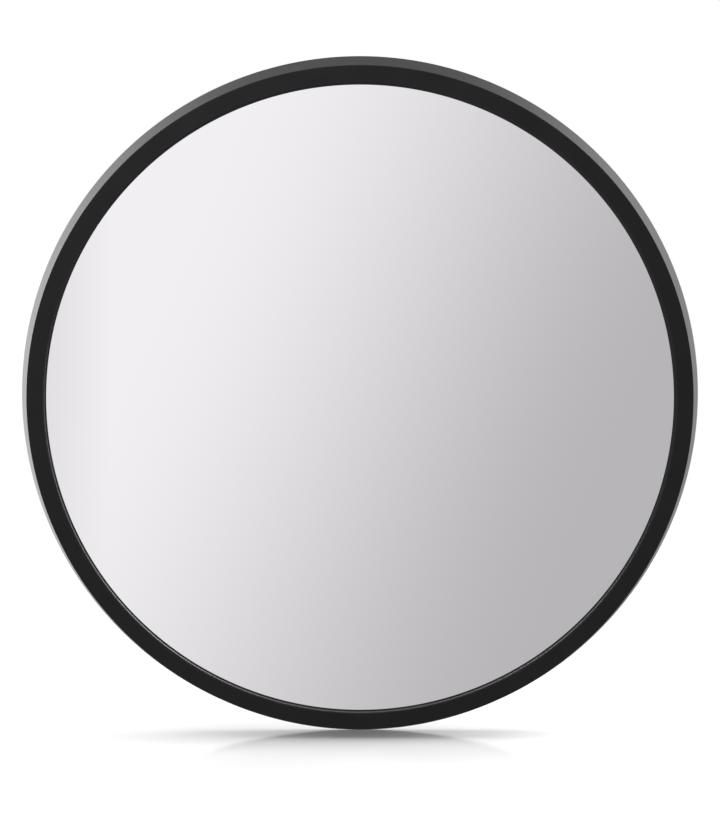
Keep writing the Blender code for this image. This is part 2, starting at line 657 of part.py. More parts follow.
def wall_plate(group):
    """The plate on the wall, with two ears for the pivot bolt and four slots for the wall screws."""
    plate = rounded_rectangle(*WALL_PLATE_SIZE, WALL_PLATE_CORNER, 4)
    mesh = prism("wall_plate", plate, 0.0, WALL_PLATE_WALL, UPRIGHT)
    piece = place("wall_plate", mesh, group, BLACK_STEEL, smooth=False)

    root = -WALL_PLATE_WALL / 2
    ear = [(-EAR_RADIUS, root), (EAR_RADIUS, root)]
    ear += [(EAR_RADIUS * cos(a), PIVOT_Y - EAR_RADIUS * sin(a)) for a in around(24)[:13]]
    top = prism("upper_ear", ear, EAR_HALF_GAP, EAR_HALF_GAP + EAR_WALL)
    bottom = prism("lower_ear", ear, -EAR_HALF_GAP - EAR_WALL, -EAR_HALF_GAP)
    boolean(piece, "UNION", together("ears", [top, bottom], [Matrix.Identity(4)] * 2))

    outline = rounded_rectangle(*WALL_SLOT_SIZE, WALL_SLOT_SIZE[0] / 2, 4)
    slot = prism("slot", outline, -PAST, WALL_PLATE_WALL + PAST, UPRIGHT)
    x, z = WALL_SLOT_PLACE
    places = [Matrix.Translation((sx * x, 0, sz * z)) for sx in (1, -1) for sz in (1, -1)]
    boolean(piece, "DIFFERENCE", together("slots", [slot] * 4, places))

    half = EAR_HALF_GAP + EAR_WALL + PAST
    at_pivot = Matrix.Translation((0, PIVOT_Y, 0)) @ UPRIGHT
    bolt_hole = disc(PIVOT_BOLT_RADIUS + GAP, -half, half)
    boolean(piece, "DIFFERENCE", turned("ear_holes", bolt_hole, SMALL_SIDES, at_pivot))


def pivot_hardware(group):
    """The pivot bolt through ears and knuckle, with its washers and nut."""
    bore = PIVOT_BOLT_RADIUS + GAP
    at_pivot = (0, PIVOT_Y, 0)
    ear_top = EAR_HALF_GAP + EAR_WALL

    def washer(name, radius, low, wall, finish):
        mesh = turned(name, ring(bore, radius, low, low + wall), SMALL_SIDES, UPRIGHT)
        place(name, mesh, group, finish, at_pivot)

    washer("bolt_washer", WASHER_RADIUS, ear_top + GAP, WASHER_WALL, STEEL)
    washer("nut_washer", WASHER_RADIUS, -ear_top - GAP - WASHER_WALL, WASHER_WALL, STEEL)
    low = KNUCKLE_HALF_HEIGHT + GAP
    wall = FRICTION_WASHER_WALL
    washer("friction_washer_upper", FRICTION_WASHER_RADIUS, low, wall, NYLON)
    washer("friction_washer_lower", FRICTION_WASHER_RADIUS, -low - wall, wall, NYLON)

    seat = ear_top + WASHER_WALL + 2 * GAP
    hexagon = regular(6, PIVOT_BOLT_FLATS)
    head = prism("pivot_bolt", hexagon, seat, seat + PIVOT_BOLT_HEAD)
    bolt = place("pivot_bolt", head, group, STEEL, at_pivot, smooth=False)
    shank = disc(PIVOT_BOLT_RADIUS, PIVOT_BOLT_END_Z, seat + PIVOT_BOLT_HEAD / 2)
    boolean(bolt, "UNION", turned("bolt_shank", shank, SMALL_SIDES, UPRIGHT))

    nut_end = -seat - PIVOT_NUT_THICKNESS
    nut = prism("pivot_nut", hexagon, nut_end, -seat)
    nut = place("pivot_nut", nut, group, STEEL, at_pivot, smooth=False)
    nut_bore = disc(bore, nut_end - PAST, -seat + PAST)
    boolean(nut, "DIFFERENCE", turned("nut_bore", nut_bore, SMALL_SIDES, UPRIGHT))


def clear_scene():
    for obj in list(bpy.data.objects):
        bpy.data.objects.remove(obj)


def build():
    clear_scene()
    bracket = pivot("wall_bracket_group", (0, 0, 0))
    outer = pivot("outer_arm_group", (0, PIVOT_Y, 0), bracket)
    screw = pivot("clamp_screw_group", (0, CLAMP_Y, 0), outer)
    knob = pivot("clamp_knob_group", (0, CLAMP_Y, 0), screw)
    inner = pivot("inner_arm_group", (0, BALL_Y, 0), outer)
    seat_ring = pivot("seat_ring_group", (0, BALL_Y, 0), inner)
    pad = pivot("friction_pad_group", (0, BALL_Y, 0), seat_ring)
    head = pivot("mirror_group", (0, BALL_Y, 0), pad)
    collar = pivot("lock_collar_group", (0, BALL_Y, 0), head)

    wall_plate(bracket)
    pivot_hardware(bracket)
    outer_arm(outer)
    clamp(screw, knob)
    tube_front = ball_stud(inner)
    inner_arm(inner, tube_front)
    ball_seats(seat_ring, pad)

    screw_angles = around(COVER_SCREW_COUNT, pi / COVER_SCREW_COUNT)
    socket_angles = around(SOCKET_SCREW_COUNT, pi / SOCKET_SCREW_COUNT)
    bezel(head, screw_angles)
    foam_rear = dome(head)
    cover(head, foam_rear, screw_angles, socket_angles)
    cover_screws(head, screw_angles)
    socket_fasteners(head, socket_angles)
    socket_housing(head, socket_angles)
    lock_collar(collar)


build()
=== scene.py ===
"""Convex security mirror: how its pieces look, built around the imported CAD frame.

Metres, +Z up, the mirror faces -Y. Places come from the frame's boxes and joints. Wall thicknesses,
radii and edges that a box doesn't give are named below. Depths run behind the bezel's flat face,
and the ball joint's places along Y run from the ball's middle.
"""

import json
from math import acos, asin, atan2, cos, pi, radians, sin, sqrt, tan

import bmesh
import bpy
from mathutils import Matrix, Vector

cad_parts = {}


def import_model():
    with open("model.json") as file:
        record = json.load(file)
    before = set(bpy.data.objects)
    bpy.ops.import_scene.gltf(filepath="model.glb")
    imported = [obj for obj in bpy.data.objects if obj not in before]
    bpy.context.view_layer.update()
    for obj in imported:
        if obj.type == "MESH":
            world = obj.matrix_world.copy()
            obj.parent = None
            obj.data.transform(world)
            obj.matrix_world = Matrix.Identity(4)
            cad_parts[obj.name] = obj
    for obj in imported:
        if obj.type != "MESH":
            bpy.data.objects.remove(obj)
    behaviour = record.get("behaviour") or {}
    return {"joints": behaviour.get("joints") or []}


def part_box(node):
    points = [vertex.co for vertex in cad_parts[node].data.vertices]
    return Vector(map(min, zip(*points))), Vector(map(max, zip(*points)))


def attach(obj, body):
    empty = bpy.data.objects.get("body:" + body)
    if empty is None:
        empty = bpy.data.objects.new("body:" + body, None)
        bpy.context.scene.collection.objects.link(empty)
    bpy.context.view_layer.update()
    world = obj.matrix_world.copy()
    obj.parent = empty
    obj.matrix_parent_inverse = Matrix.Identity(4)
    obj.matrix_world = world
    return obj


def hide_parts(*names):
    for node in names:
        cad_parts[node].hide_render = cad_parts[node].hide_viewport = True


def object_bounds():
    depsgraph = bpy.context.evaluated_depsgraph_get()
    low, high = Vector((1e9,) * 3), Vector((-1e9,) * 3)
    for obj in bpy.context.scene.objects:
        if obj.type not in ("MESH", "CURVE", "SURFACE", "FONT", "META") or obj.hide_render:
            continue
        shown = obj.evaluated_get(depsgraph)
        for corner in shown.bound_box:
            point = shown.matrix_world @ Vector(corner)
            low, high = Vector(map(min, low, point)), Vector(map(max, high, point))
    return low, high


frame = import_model()
cad_box = [list(corner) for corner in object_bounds()]

ON_AXIS = 1e-7  # a radius under this is the axis, and lengths this close are equal
SMOOTH_ANGLE = radians(32)
RING_SIDES = 288
ROUND_SIDES = 144
SMALL_SIDES = 64
LARGE_RADIUS = 0.1  # a ring wider than this gets the most sides
PAST = 0.001  # how far a cutter runs past the wall that it cuts
CLEAR = 0.0003  # between a hole and what goes through it
FILLET_SHARE = 0.49  # the most of a side that a fillet takes
ROWS_PER_TURN = 8  # outline points along one turn of a thread
THREAD_DEPTH = 0.55  # of its pitch
HEX_FACE = 0.48  # radius of a hexagon's turned face, of its width across flats
HEX_CHAMFER = radians(30)
EDGE_ANGLE = radians(40)  # an edge sharper than this is rounded
WELD_SIDES = 12
WELD_RIPPLE = 0.1  # of the bead's radius
RIPPLE_STEPS = 8

JOINTS = {joint["name"]: Vector(joint["pos_m"]) for joint in frame["joints"] if "pos_m" in joint}
FACE_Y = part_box("front_bezel")[0].y
STAY = Matrix.Identity(4)
UPRIGHT = Matrix.Rotation(pi / 2, 4, "X")  # carries a lathed piece's axis from +Y to +Z, and +Z to -Y
TO_REAR = Matrix.Rotation(-pi / 2, 4, "X")  # carries a prism's height from +Z to +Y
AT_FACE = Matrix.Translation((0, FACE_Y, 0))
AT_BALL = Matrix.Translation(JOINTS["mirror_pan"])
AT_PIVOT = Matrix.Translation(JOINTS["arm_swing"])
AT_CLAMP = Matrix.Translation(JOINTS["clamp_turn"])

HEAD, ARM, SLIDE, WALL = "mirror_head", "outer_arm", "inner_arm", "wall_bracket"
ZINC = "zinc_steel"

FACE_RADIUS = 0.2187
LIP_RADIUS = 0.2064
BEZEL_WALL = 0.0026
FACE_WALL = 0.0022
BEZEL_EDGE = 0.0007
LIP_EDGE = 0.0019
BOSS_RADIUS = 0.004
BOSS_DEPTHS = (0.016, 0.0288)
PILOT_DEPTH = 0.018

DOME_RADIUS = LIP_RADIUS - CLEAR
DOME_EDGE_DEPTH = 0.002
DOME_RISE = 0.03
DOME_WALL = 0.003
DOME_SHOULDER = 0.0018
DOME_FLANGE_DEPTH = 0.0042
DOME_STEPS = 56
STRIP_INNER_RADIUS = 0.2096

COVER_WALL = 0.0025
COVER_RIM_RADIUS = 0.221
COVER_RIM_DEPTH = 0.0316
CONE_RADIUS = 0.204
PAD_RADIUS = 0.076
PAD_DEPTH = 0.0446
RIB_RADII = (0.2099, 0.2124)
RIB_DEPTH = 0.0113
COVER_BEADS = ((0.052, 0.0008), (0.112, 0.0009), (0.163, 0.0009))  # radius and height
BEAD_HALF_WIDTH = 0.002
BEAD_TOP = 0.45  # of its half width
PAD_BLEND = 0.03
RIM_BLEND = 0.02
STIFFENER_COUNT = 12
STIFFENER_RADII = (0.084, 0.198)
STIFFENER_WIDTH = 0.0024
STIFFENER_HEIGHT = 0.0016
STIFFENER_SUNK = 0.001
STIFFENER_END = 0.005
STIFFENER_TIP = 0.0003

COVER_SCREWS = (0.2176, 8)  # circle's radius and count
COVER_SCREW_RADIUS = 0.0016
COVER_SCREW_LENGTH = 0.0125
COVER_SCREW_HEAD = (0.0031, 0.0018)
COVER_SCREW_PITCH = 0.0012
COVER_SCREW_SEAT = 0.0319
SCREW_POINT = 0.6  # of the shank's radius
HEAD_CROWN = 0.7  # this and the next two of the head's height
CROSS_FLOOR = 0.35
CROSS_TAPER = 0.55
CROSS_REACH = 0.54  # this and the next of its radius
CROSS_HALF_WIDTH = 0.15
SCREW_TURN = 1.3  # radians from one screw to the next

BALL_RADIUS = 0.0125
SEAT_RADII = (0.0129, 0.0153)
SEAT_RING_ANGLES = (radians(58), radians(86))
PAD_ANGLE = radians(122)
SOCKET_SPHERE = 0.0157
SOCKET_BASE = -0.019
FLANGE_RADIUS = 0.042
FLANGE_REAR = -0.014
SOCKET_ROOT_RADIUS = 0.0265
SOCKET_SHOULDER = (0.0215, -0.009)
NECK_RADIUS = 0.0183
SOCKET_RIM = 0.0005
NECK_PITCH = 0.002
GUSSET_COUNT = 8
GUSSET_WIDTH = 0.0022
GUSSET_RADII = (0.021, 0.04)
GUSSET_TOP = (0.0225, 0.0006)
GUSSET_TOE = 0.0004
GUSSET_SUNK = 0.001
COLLAR_RADIUS = 0.0225
COLLAR_Y = (-0.006, 0.0105)
COLLAR_CHAMFER = 0.002
COLLAR_BORE = 0.0186
COLLAR_SHOULDER = 0.0008
COLLAR_MOUTH_ANGLE = radians(56)
COLLAR_MOUTH_LIP = 0.0012
COLLAR_FLUTES = 12
FLUTE_RADIUS = 0.0022

SOCKET_SCREWS = (0.033, 4)
SOCKET_SCREW_RADIUS = 0.0025
SOCKET_SCREW_HEAD = (0.0046, 0.0032)
SOCKET_SCREW_SEAT = -0.0137
SOCKET_SCREW_PITCH = 0.0008
SOCKET_NUT_FLATS = 0.008

STUD_RADIUS = 0.005
STUD_NECK_RADIUS = 0.0042
STUD_PITCH = 0.0015
STUD_NECK_LENGTH = 0.0022
STUD_POINT = 0.0012
STUD_BLEND = 0.0008
LOCKNUT_FLATS = 0.017
INSERT_FLANGE = 0.002
INNER_RADII = (0.0065, 0.008)
GROOVE_HALF_WIDTH = 0.0018
GROOVE_DEPTH = 0.0006
GROOVE_MARGINS = (0.016, 0.005)  # left plain at the tube's front and rear
RUN_OUT = 0.002
RUN_OUT_STEPS = 4
TAIL_PLUG = 0.006

OUTER_RADII = (0.0095, 0.011)
BUSH_FLANGE = 0.002
CLAMP_RADIUS = 0.003
CLAMP_BOSS_RADIUS = 0.007
CLAMP_BOSS_Z = -0.017
BOSS_WELD_RADIUS = 0.0011
BOSS_WELD_STEPS = 160
KNOB_RADIUS = 0.013
KNOB_LOBES = 6
KNOB_SCALLOP = 0.0012
KNOB_HOLLOW = (0.0068, 0.0084)  # radii at its floor and edge
KNOB_HOLLOW_DEPTHS = (0.0012, 0.0008)
KNOB_GROOVE = (0.0056, 0.008)
KNOB_GROOVE_DEPTH = 0.002
CLAMP_PITCH = 0.0011
CLAMP_POINT = 0.0008
TUBE_PIN_Y = -0.041
TUBE_PIN_RADIUS = 0.002

KNUCKLE_RADIUS = 0.011
KNUCKLE_HALF_WIDTH = 0.008
KNUCKLE_INSET = 0.0006
SPIGOT_LENGTH = 0.0103
SPIGOT_COLLAR = 0.0025
PIVOT_RADIUS = 0.004
PIVOT_FLATS = 0.013
PIVOT_HEAD = 0.0053
PIVOT_PITCH = 0.00125
PIVOT_POINT = 0.0007
PIVOT_THREAD_ABOVE = 0.002  # the lower ear
NUT_COLLAR_HEIGHT = 0.002
NUT_COLLAR_RADII = (0.005, 0.0057)
NUT_RING_RADIUS = 0.0042
NUT_LIP = 0.0003

PLATE_WALL = 0.003
PLATE_CORNER = 0.008
SLOT_PLACE = (0.025, 0.042)
SLOT_SIZE = (0.007, 0.012)
EAR_HALF_GAP = 0.0123
EAR_WALL = 0.003
EAR_RADIUS = 0.012
EAR_STEPS = 40
EAR_WELD_RADIUS = 0.001
EAR_WELD_STEP = 0.0004

# ---- outlines


def rounded(corners, steps=4):
    """A closed outline whose corners are given as (x, y), or as (x, y, fillet radius)."""
    points = []
    for i, (x, y, *fillet) in enumerate(corners):
        radius = fillet[0] if fillet else 0
        here = Vector((x, y))
        if radius <= 0:
            points.append((x, y))
            continue
        before = Vector(corners[i - 1][:2]) - here
        after = Vector(corners[(i + 1) % len(corners)][:2]) - here
        half = before.angle(after) / 2
        reach = min(radius / tan(half), FILLET_SHARE * before.length, FILLET_SHARE * after.length)
        bisector = (before.normalized() + after.normalized()).normalized()
        centre = here + bisector * (reach / cos(half))
        spoke = here + before.normalized() * reach - centre
        end = here + after.normalized() * reach - centre
        start_angle = atan2(spoke.y, spoke.x)
        sweep = (atan2(end.y, end.x) - start_angle + pi) % (2 * pi) - pi
        for step in range(steps + 1):
            angle = start_angle + sweep * step / steps
            points.append((centre.x + spoke.length * cos(angle), centre.y + spoke.length * sin(angle)))
    return points


def arc(radius, start, end, steps, centre=(0.0, 0.0)):
    """Points of a circle in (radius, y), by angle from the +y direction."""
    angles = [start + (end - start) * i / steps for i in range(steps + 1)]
    return [(centre[0] + radius * sin(a), centre[1] + radius * cos(a)) for a in angles]


def cap_arc(rim_radius, rim_y, rise, steps):
    """A shallow spherical cap's outline, from its rim to its middle, rising towards -y."""
    sphere = (rim_radius**2 + rise**2) / (2 * rise)
    half_angle = atan2(rim_radius, sphere - rise)
    return arc(sphere, pi - half_angle, pi, steps, (0.0, rim_y + sphere - rise))


# ---- meshes


def span(node, axis):
    """Where a node starts and ends along an axis."""
    return (corner["XYZ".index(axis)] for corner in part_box(node))


def finished(bm):
    """A mesh whose faces look outwards."""
    bmesh.ops.recalc_face_normals(bm, faces=bm.faces)
    mesh = bpy.data.meshes.new("made")
    bm.to_mesh(mesh)
    bm.free()
    return mesh


def lathe(outline, sides, shape=None, across=STAY):
    """A closed outline of (radius, y) turned about Y. Shape may move a point by its angle."""
    bm = bmesh.new()
    rings = []
    for radius, y in outline:
        if radius < ON_AXIS:
            rings.append([bm.verts.new((0.0, y, 0.0))])
            continue
        ring = []
        for i in range(sides):
            angle = 2 * pi * i / sides
            r = shape(radius, y, angle) if shape else radius
            ring.append(bm.verts.new((r * cos(angle), y, r * sin(angle))))
        rings.append(ring)
    pairs = list(zip(rings, rings[1:]))
    if len(rings[0]) > 1:
        pairs.append((rings[-1], rings[0]))
    for a, b in pairs:
        for i in range(sides):
            j = i + 1
            loop = [a[i % len(a)], b[i % len(b)], b[j % len(b)], a[j % len(a)]]
            corners = list(dict.fromkeys(loop))
            if len(corners) > 2:
                bm.faces.new(corners)
    bmesh.ops.transform(bm, matrix=across, verts=bm.verts)
    return finished(bm)


def turned(corners, sides=ROUND_SIDES, shape=None, across=STAY, steps=4):
    """Corners given as (radius, y, fillet radius) turned about Y."""
    return lathe(rounded(corners, steps), sides, shape, across)


def rod(radius, low, high, sides=SMALL_SIDES, across=STAY, edge=0):
    """A round bar along Y. Its two end edges may be rounded."""
    corners = [(0.0, low), (radius, low, edge), (radius, high, edge), (0.0, high)]
    return turned(corners, sides, None, across)


def prism(outline, low, high, across=STAY, edge=0.0, taper=1.0):
    """A flat (x, y) outline carried from z = low, where it is scaled by taper, to z = high."""
    bm = bmesh.new()
    base = [bm.verts.new((x * taper, y * taper, low)) for x, y in outline]
    top = [bm.verts.new((x, y, high)) for x, y in outline]
    bm.faces.new(base)
    bm.faces.new(top)
    for i in range(len(outline)):
        j = (i + 1) % len(outline)
        bm.faces.new((base[i], base[j], top[j], top[i]))
    bmesh.ops.transform(bm, matrix=across, verts=bm.verts)
    mesh = finished(bm)
    return eased(mesh, edge) if edge else mesh


def configure(thing, settings):
    for key, value in settings.items():
        setattr(thing, key, value)


def linked(name, data):
    """A new object in the scene."""
    made = bpy.data.objects.new(name, data)
    bpy.context.collection.objects.link(made)
    return made


def applied(mesh, kind, **settings):
    """The mesh that a modifier makes of a mesh."""
    holder = linked("work", mesh)
    modifier = holder.modifiers.new("work", kind)
    configure(modifier, settings)
    evaluated = holder.evaluated_get(bpy.context.evaluated_depsgraph_get())
    made = bpy.data.meshes.new_from_object(evaluated)
    bpy.data.objects.remove(holder)
    return made


def eased(mesh, edge):
    """The mesh with its sharp edges rounded."""
    return applied(mesh, "BEVEL", width=edge, segments=3, limit_method="ANGLE", angle_limit=EDGE_ANGLE)


def combined(mesh, operation, tool):
    """The mesh with a tool mesh added (UNION), cut away (DIFFERENCE) or shared (INTERSECT)."""
    helper = linked("tool", tool)
    made = applied(mesh, "BOOLEAN", object=helper, operation=operation, solver="EXACT")
    bpy.data.objects.remove(helper)
    return made


def cut(mesh, *tools):
    """The mesh with the tools cut away."""
    for tool in tools:
        mesh = combined(mesh, "DIFFERENCE", tool)
    return mesh


def joined(mesh, *tools):
    """The mesh and the tools as one."""
    for tool in tools:
        mesh = combined(mesh, "UNION", tool)
    return mesh


def copies(mesh, places):
    """One mesh that holds a copy of a mesh at each matrix."""
    bm = bmesh.new()
    for matrix in places:
        copy = mesh.copy()
        copy.transform(matrix)
        bm.from_mesh(copy)
        bpy.data.meshes.remove(copy)
    return finished(bm)


def along(y):
    """A place further along Y."""
    return Matrix.Translation((0, y, 0))


def on_circle(circle, count, first=0.5):
    """Places around a circle about Y, each turned to face outwards, the first so many steps round."""
    turns = [Matrix.Rotation(2 * pi * (i + first) / count, 4, "Y") for i in range(count)]
    return [turn @ Matrix.Translation((circle, 0, 0)) for turn in turns]


def rows(radius, start, end, pitch):
    """Outline corners close enough together to carry a thread."""
    count = round(abs(end - start) / pitch * ROWS_PER_TURN)
    return [(radius, start + (end - start) * i / count) for i in range(count + 1)]


def threaded(radius, start, end, pitch):
    """A shape for lathe that cuts a thread into the points at a radius, from start to end."""

    def shape(r, y, angle):
        if abs(r - radius) > ON_AXIS or not start < y < end:
            return r
        wave = abs(2 * ((y / pitch + angle / (2 * pi)) % 1) - 1)
        fade = min(1.0, (y - start) / pitch, (end - y) / pitch)
        return r - THREAD_DEPTH * pitch * fade * wave

    return shape


def hexagon(flats, low, high, ends=(True, True)):
    """A hexagonal bar along Y. Ends says whether its low and its high end have turned corners."""
    corner = flats / sqrt(3)
    stock = [(corner * cos(pi / 3 * i), corner * sin(pi / 3 * i)) for i in range(6)]
    reach = corner + PAST
    chamfered = flats * HEX_FACE
    drop = (reach - chamfered) * tan(HEX_CHAMFER)
    outline = [(0.0, low), (chamfered, low), (reach, low + drop)]
    outline += [(reach, high - drop), (chamfered, high), (0.0, high)]
    if not ends[0]:
        outline[1:3] = [(reach, low)]
    if not ends[1]:
        outline[-3:-1] = [(reach, high)]
    bar = prism(stock, low - PAST, high + PAST, TO_REAR)
    return combined(bar, "INTERSECT", lathe(outline, ROUND_SIDES))


def weld(path, radius):
    """A closed bead of weld metal along a path, with the ripples of its run."""
    bm = bmesh.new()
    rings = []
    for i, point in enumerate(path):
        here = Vector(point)
        ahead = (Vector(path[(i + 1) % len(path)]) - Vector(path[i - 1])).normalized()
        side = ahead.orthogonal().normalized()
        other = ahead.cross(side)
        size = radius * (1 + WELD_RIPPLE * cos(i * 2 * pi / RIPPLE_STEPS))
        angles = [2 * pi * k / WELD_SIDES for k in range(WELD_SIDES)]
        rings.append([bm.verts.new(here + (side * cos(a) + other * sin(a)) * size) for a in angles])
    for a, b in zip(rings, rings[1:] + rings[:1]):
        shift = min(range(WELD_SIDES), key=lambda k: (b[k].co - a[0].co).length)
        b = b[shift:] + b[:shift]
        for k in range(WELD_SIDES):
            n = (k + 1) % WELD_SIDES
            bm.faces.new((a[k], b[k], b[n], a[n]))
    return finished(bm)


def dressed(mesh, slot):
    """The mesh with its finish, smooth but for its sharp edges, and with flat faces shaded flat."""
    mesh.materials.clear()
    mesh.materials.append(MATERIALS[slot])
    mesh.shade_smooth()
    mesh.set_sharp_from_angle(angle=SMOOTH_ANGLE)
    return applied(mesh, "WEIGHTED_NORMAL", keep_sharp=True)


def place(name, mesh, body, slot, *nodes, at=STAY):
    """A shown piece: it rides on a body, takes a slot's finish and stands for CAD nodes."""
    if MATERIALS[slot].name not in mesh.materials:
        mesh = dressed(mesh, slot)
    piece = linked(name, mesh)
    piece.matrix_world = at
    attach(piece, body)
    if nodes:
        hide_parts(*nodes)


def flat_ring(name, node, body, slot, inner, edge, across=STAY):
    """A ring that fills a node's box, about Y, or about Z where it lies across."""
    low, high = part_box(node)
    half = (high - low) / 2
    radius = half.x
    thick = min(half.y, half.z)
    corners = [(inner, -thick, edge), (radius, -thick, edge), (radius, thick, edge), (inner, thick, edge)]
    mesh = turned(corners, RING_SIDES if radius > LARGE_RADIUS else ROUND_SIDES, None, across)
    place(name, mesh, body, slot, node, at=Matrix.Translation((low + high) / 2))


# ---- materials

MATERIALS = {}


def add(tree, kind, links=None, **settings):
    """A shader node. Links fills its inputs, by name, from a value or another node's output."""
    made = tree.nodes.new("ShaderNode" + kind)
    configure(made, settings)
    for key, value in (links or {}).items():
        if isinstance(value, bpy.types.NodeSocket):
            tree.links.new(value, made.inputs[key])
        else:
            made.inputs[key].default_value = value
    return made


def maths(tree, operation, *values):
    """What a sum makes of values and other nodes' outputs."""
    return add(tree, "Math", dict(enumerate(values)), operation=operation).outputs[0]


def new_material(name, **sockets):
    """A material, kept by its name, whose even values are set on the shader's own sockets."""
    material = bpy.data.materials.new(name)
    material.use_nodes = True
    tree = material.node_tree
    shader = tree.nodes["Principled BSDF"]
    for key, value in sockets.items():
        shader.inputs[key.replace("_", " ")].default_value = value
    MATERIALS[name] = material
    return tree, shader


def scaled(tree, stretch=(1, 1, 1)):
    """Places in the piece's own frame, drawn out along an axis."""
    where = add(tree, "TexCoord").outputs["Object"]
    shrink = [1 / s for s in stretch]
    return add(tree, "Mapping", {"Vector": where, "Scale": shrink}).outputs["Vector"]


def grain(tree, size, detail=2.0, stretch=(1, 1, 1)):
    """Noise with features of about that size."""
    links = {"Vector": scaled(tree, stretch), "Scale": 1 / size, "Detail": detail}
    return add(tree, "TexNoise", links).outputs["Fac"]


def cells(tree, size):
    """Distance to the middle of the nearest cell, in cells of about that size."""
    links = {"Vector": scaled(tree), "Scale": 1 / size}
    return add(tree, "TexVoronoi", links).outputs["Distance"]


def spread(tree, source, low, high, start=0.3, end=0.7, easing="LINEAR"):
    """The source's range from start to end carried to low and high."""
    links = {"Value": source, "From Min": start, "From Max": end, "To Min": low, "To Max": high}
    return add(tree, "MapRange", links, interpolation_type=easing).outputs["Result"]


def tint(tree, source, dark, light, start=0.3, end=0.7):
    """A colour between dark and light by the source."""
    factor = spread(tree, source, 0.0, 1.0, start, end)
    links = {0: factor, 6: (*dark, 1.0), 7: (*light, 1.0)}
    return add(tree, "Mix", links, data_type="RGBA").outputs[2]


def relief(tree, shader, *layers):
    """Bumps, each a (source, depth in metres), one on the other."""
    normal = None
    for source, depth in layers:
        links = {"Height": source, "Distance": depth, "Strength": 1.0}
        if normal:
            links["Normal"] = normal
        normal = add(tree, "Bump", links).outputs["Normal"]
    tree.links.new(normal, shader.inputs["Normal"])


def finish(tree, shader, colour, roughness, *layers):
    """Joins a surface's colour, roughness and bumps to its shader."""
    tree.links.new(colour, shader.inputs["Base Color"])
    tree.links.new(roughness, shader.inputs["Roughness"])
    relief(tree, shader, *layers)


def surface(name, fine, slow, dark, light, rough, depth, **sockets):
    """A finish whose colour follows a slow noise, and whose roughness and bumps follow a fine one."""
    tree, shader = new_material(name, **sockets)
    fine = grain(tree, *fine)
    colour = tint(tree, grain(tree, *slow), dark, light)
    finish(tree, shader, colour, spread(tree, fine, *rough), (fine, depth))


def mirror_acrylic():
    """Second-surface acrylic mirror, with the faint waves and wipe marks of a formed sheet."""
    tree, shader = new_material("mirror_acrylic", Metallic=1.0, Base_Color=(0.862, 0.838, 0.87, 1.0))
    wipe = grain(tree, 0.02, 4.0, (3, 1, 1))
    tree.links.new(spread(tree, wipe, 0.01, 0.022), shader.inputs["Roughness"])
    relief(tree, shader, (grain(tree, 0.06, 1.0), 0.000004))


def grey_foam():
    """Closed-cell foam: small round pits with painted shade in them, so it is lighter between them."""
    tree, shader = new_material("grey_foam", Specular_IOR_Level=0.2)
    pits_and_pit_shade = cells(tree, 0.0008)
    # painted shade: the colour darkens towards the middle of each pit, where the bump dips
    colour = tint(tree, pits_and_pit_shade, (0.045, 0.045, 0.047), (0.12, 0.12, 0.125), 0.1, 0.6)
    finish(tree, shader, colour, spread(tree, pits_and_pit_shade, 0.85, 0.97, 0.1, 0.6), (pits_and_pit_shade, 0.0002))


def zinc_steel():
    """Bright zinc plate: drawn streaks along the piece, cloudy patches and a few dull spots."""
    tree, shader = new_material(ZINC, Metallic=1.0)
    drawn = grain(tree, 0.00022, 3.0, (1, 40, 1))
    cloud = grain(tree, 0.007, 3.0)
    colour = tint(tree, cloud, (0.54, 0.55, 0.565), (0.69, 0.685, 0.66))
    wear = maths(tree, "MULTIPLY", drawn, cloud)
    finish(tree, shader, colour, spread(tree, wear, 0.22, 0.36, 0.15, 0.4), (drawn, 0.000003))


def black_steel():
    """Black powder coat: a low orange peel with a finer grain on it."""
    tree, shader = new_material("black_steel", Specular_IOR_Level=0.4)
    peel = grain(tree, 0.0014, 1.0)
    fine = grain(tree, 0.0002, 3.0)
    slow = grain(tree, 0.012, 2.0)
    colour = tint(tree, slow, (0.0075, 0.0075, 0.008), (0.0115, 0.0115, 0.012))
    finish(tree, shader, colour, spread(tree, fine, 0.32, 0.46), (peel, 0.00012), (fine, 0.00001))


mirror_acrylic()
grey_foam()
zinc_steel()
black_steel()

# Satin moulded ABS: a fine spark-eroded grain over slow changes of gloss.
shades = ((0.0046, 0.0046, 0.0052), (0.006, 0.006, 0.0067), (0.32, 0.4))
surface("black_abs", (0.00045, 3.0), (0.03, 2.0), *shades, 0.000015, Specular_IOR_Level=0.15)

# Matt extruded rubber with a dusty bloom.
shades = ((0.008, 0.008, 0.008), (0.018, 0.018, 0.017), (0.6, 0.82))
surface("black_rubber", (0.0005, 3.0), (0.006, 3.0), *shades, 0.00003, Specular_IOR_Level=0.3)

# A ground and polished ball and its stud, with faint turning marks around the axis.
shades = ((0.66, 0.66, 0.67), (0.76, 0.76, 0.77), (0.07, 0.16))
surface("polished_steel", (0.00018, 2.0, (12, 1, 12)), (0.005, 2.0), *shades, 0.000003, Metallic=1.0)

# Unfilled nylon: milky, slightly see-through, with a soft grain.
shades = ((0.58, 0.56, 0.5), (0.68, 0.66, 0.6), (0.36, 0.52))
milky = {"Subsurface_Weight": 0.2, "Subsurface_Scale": 0.002}
surface("natural_nylon", (0.0004, 3.0), (0.004, 2.0), *shades, 0.00002, **milky)

# Glass-filled nylon: short fibres just under the skin mottle its gloss.
shades = ((0.0075, 0.0075, 0.0078), (0.015, 0.015, 0.0152), (0.34, 0.56))
surface("black_nylon", (0.0003, 3.0, (1, 4, 1)), (0.005, 3.0), *shades, 0.00003, Specular_IOR_Level=0.35)

# ---- mirror head


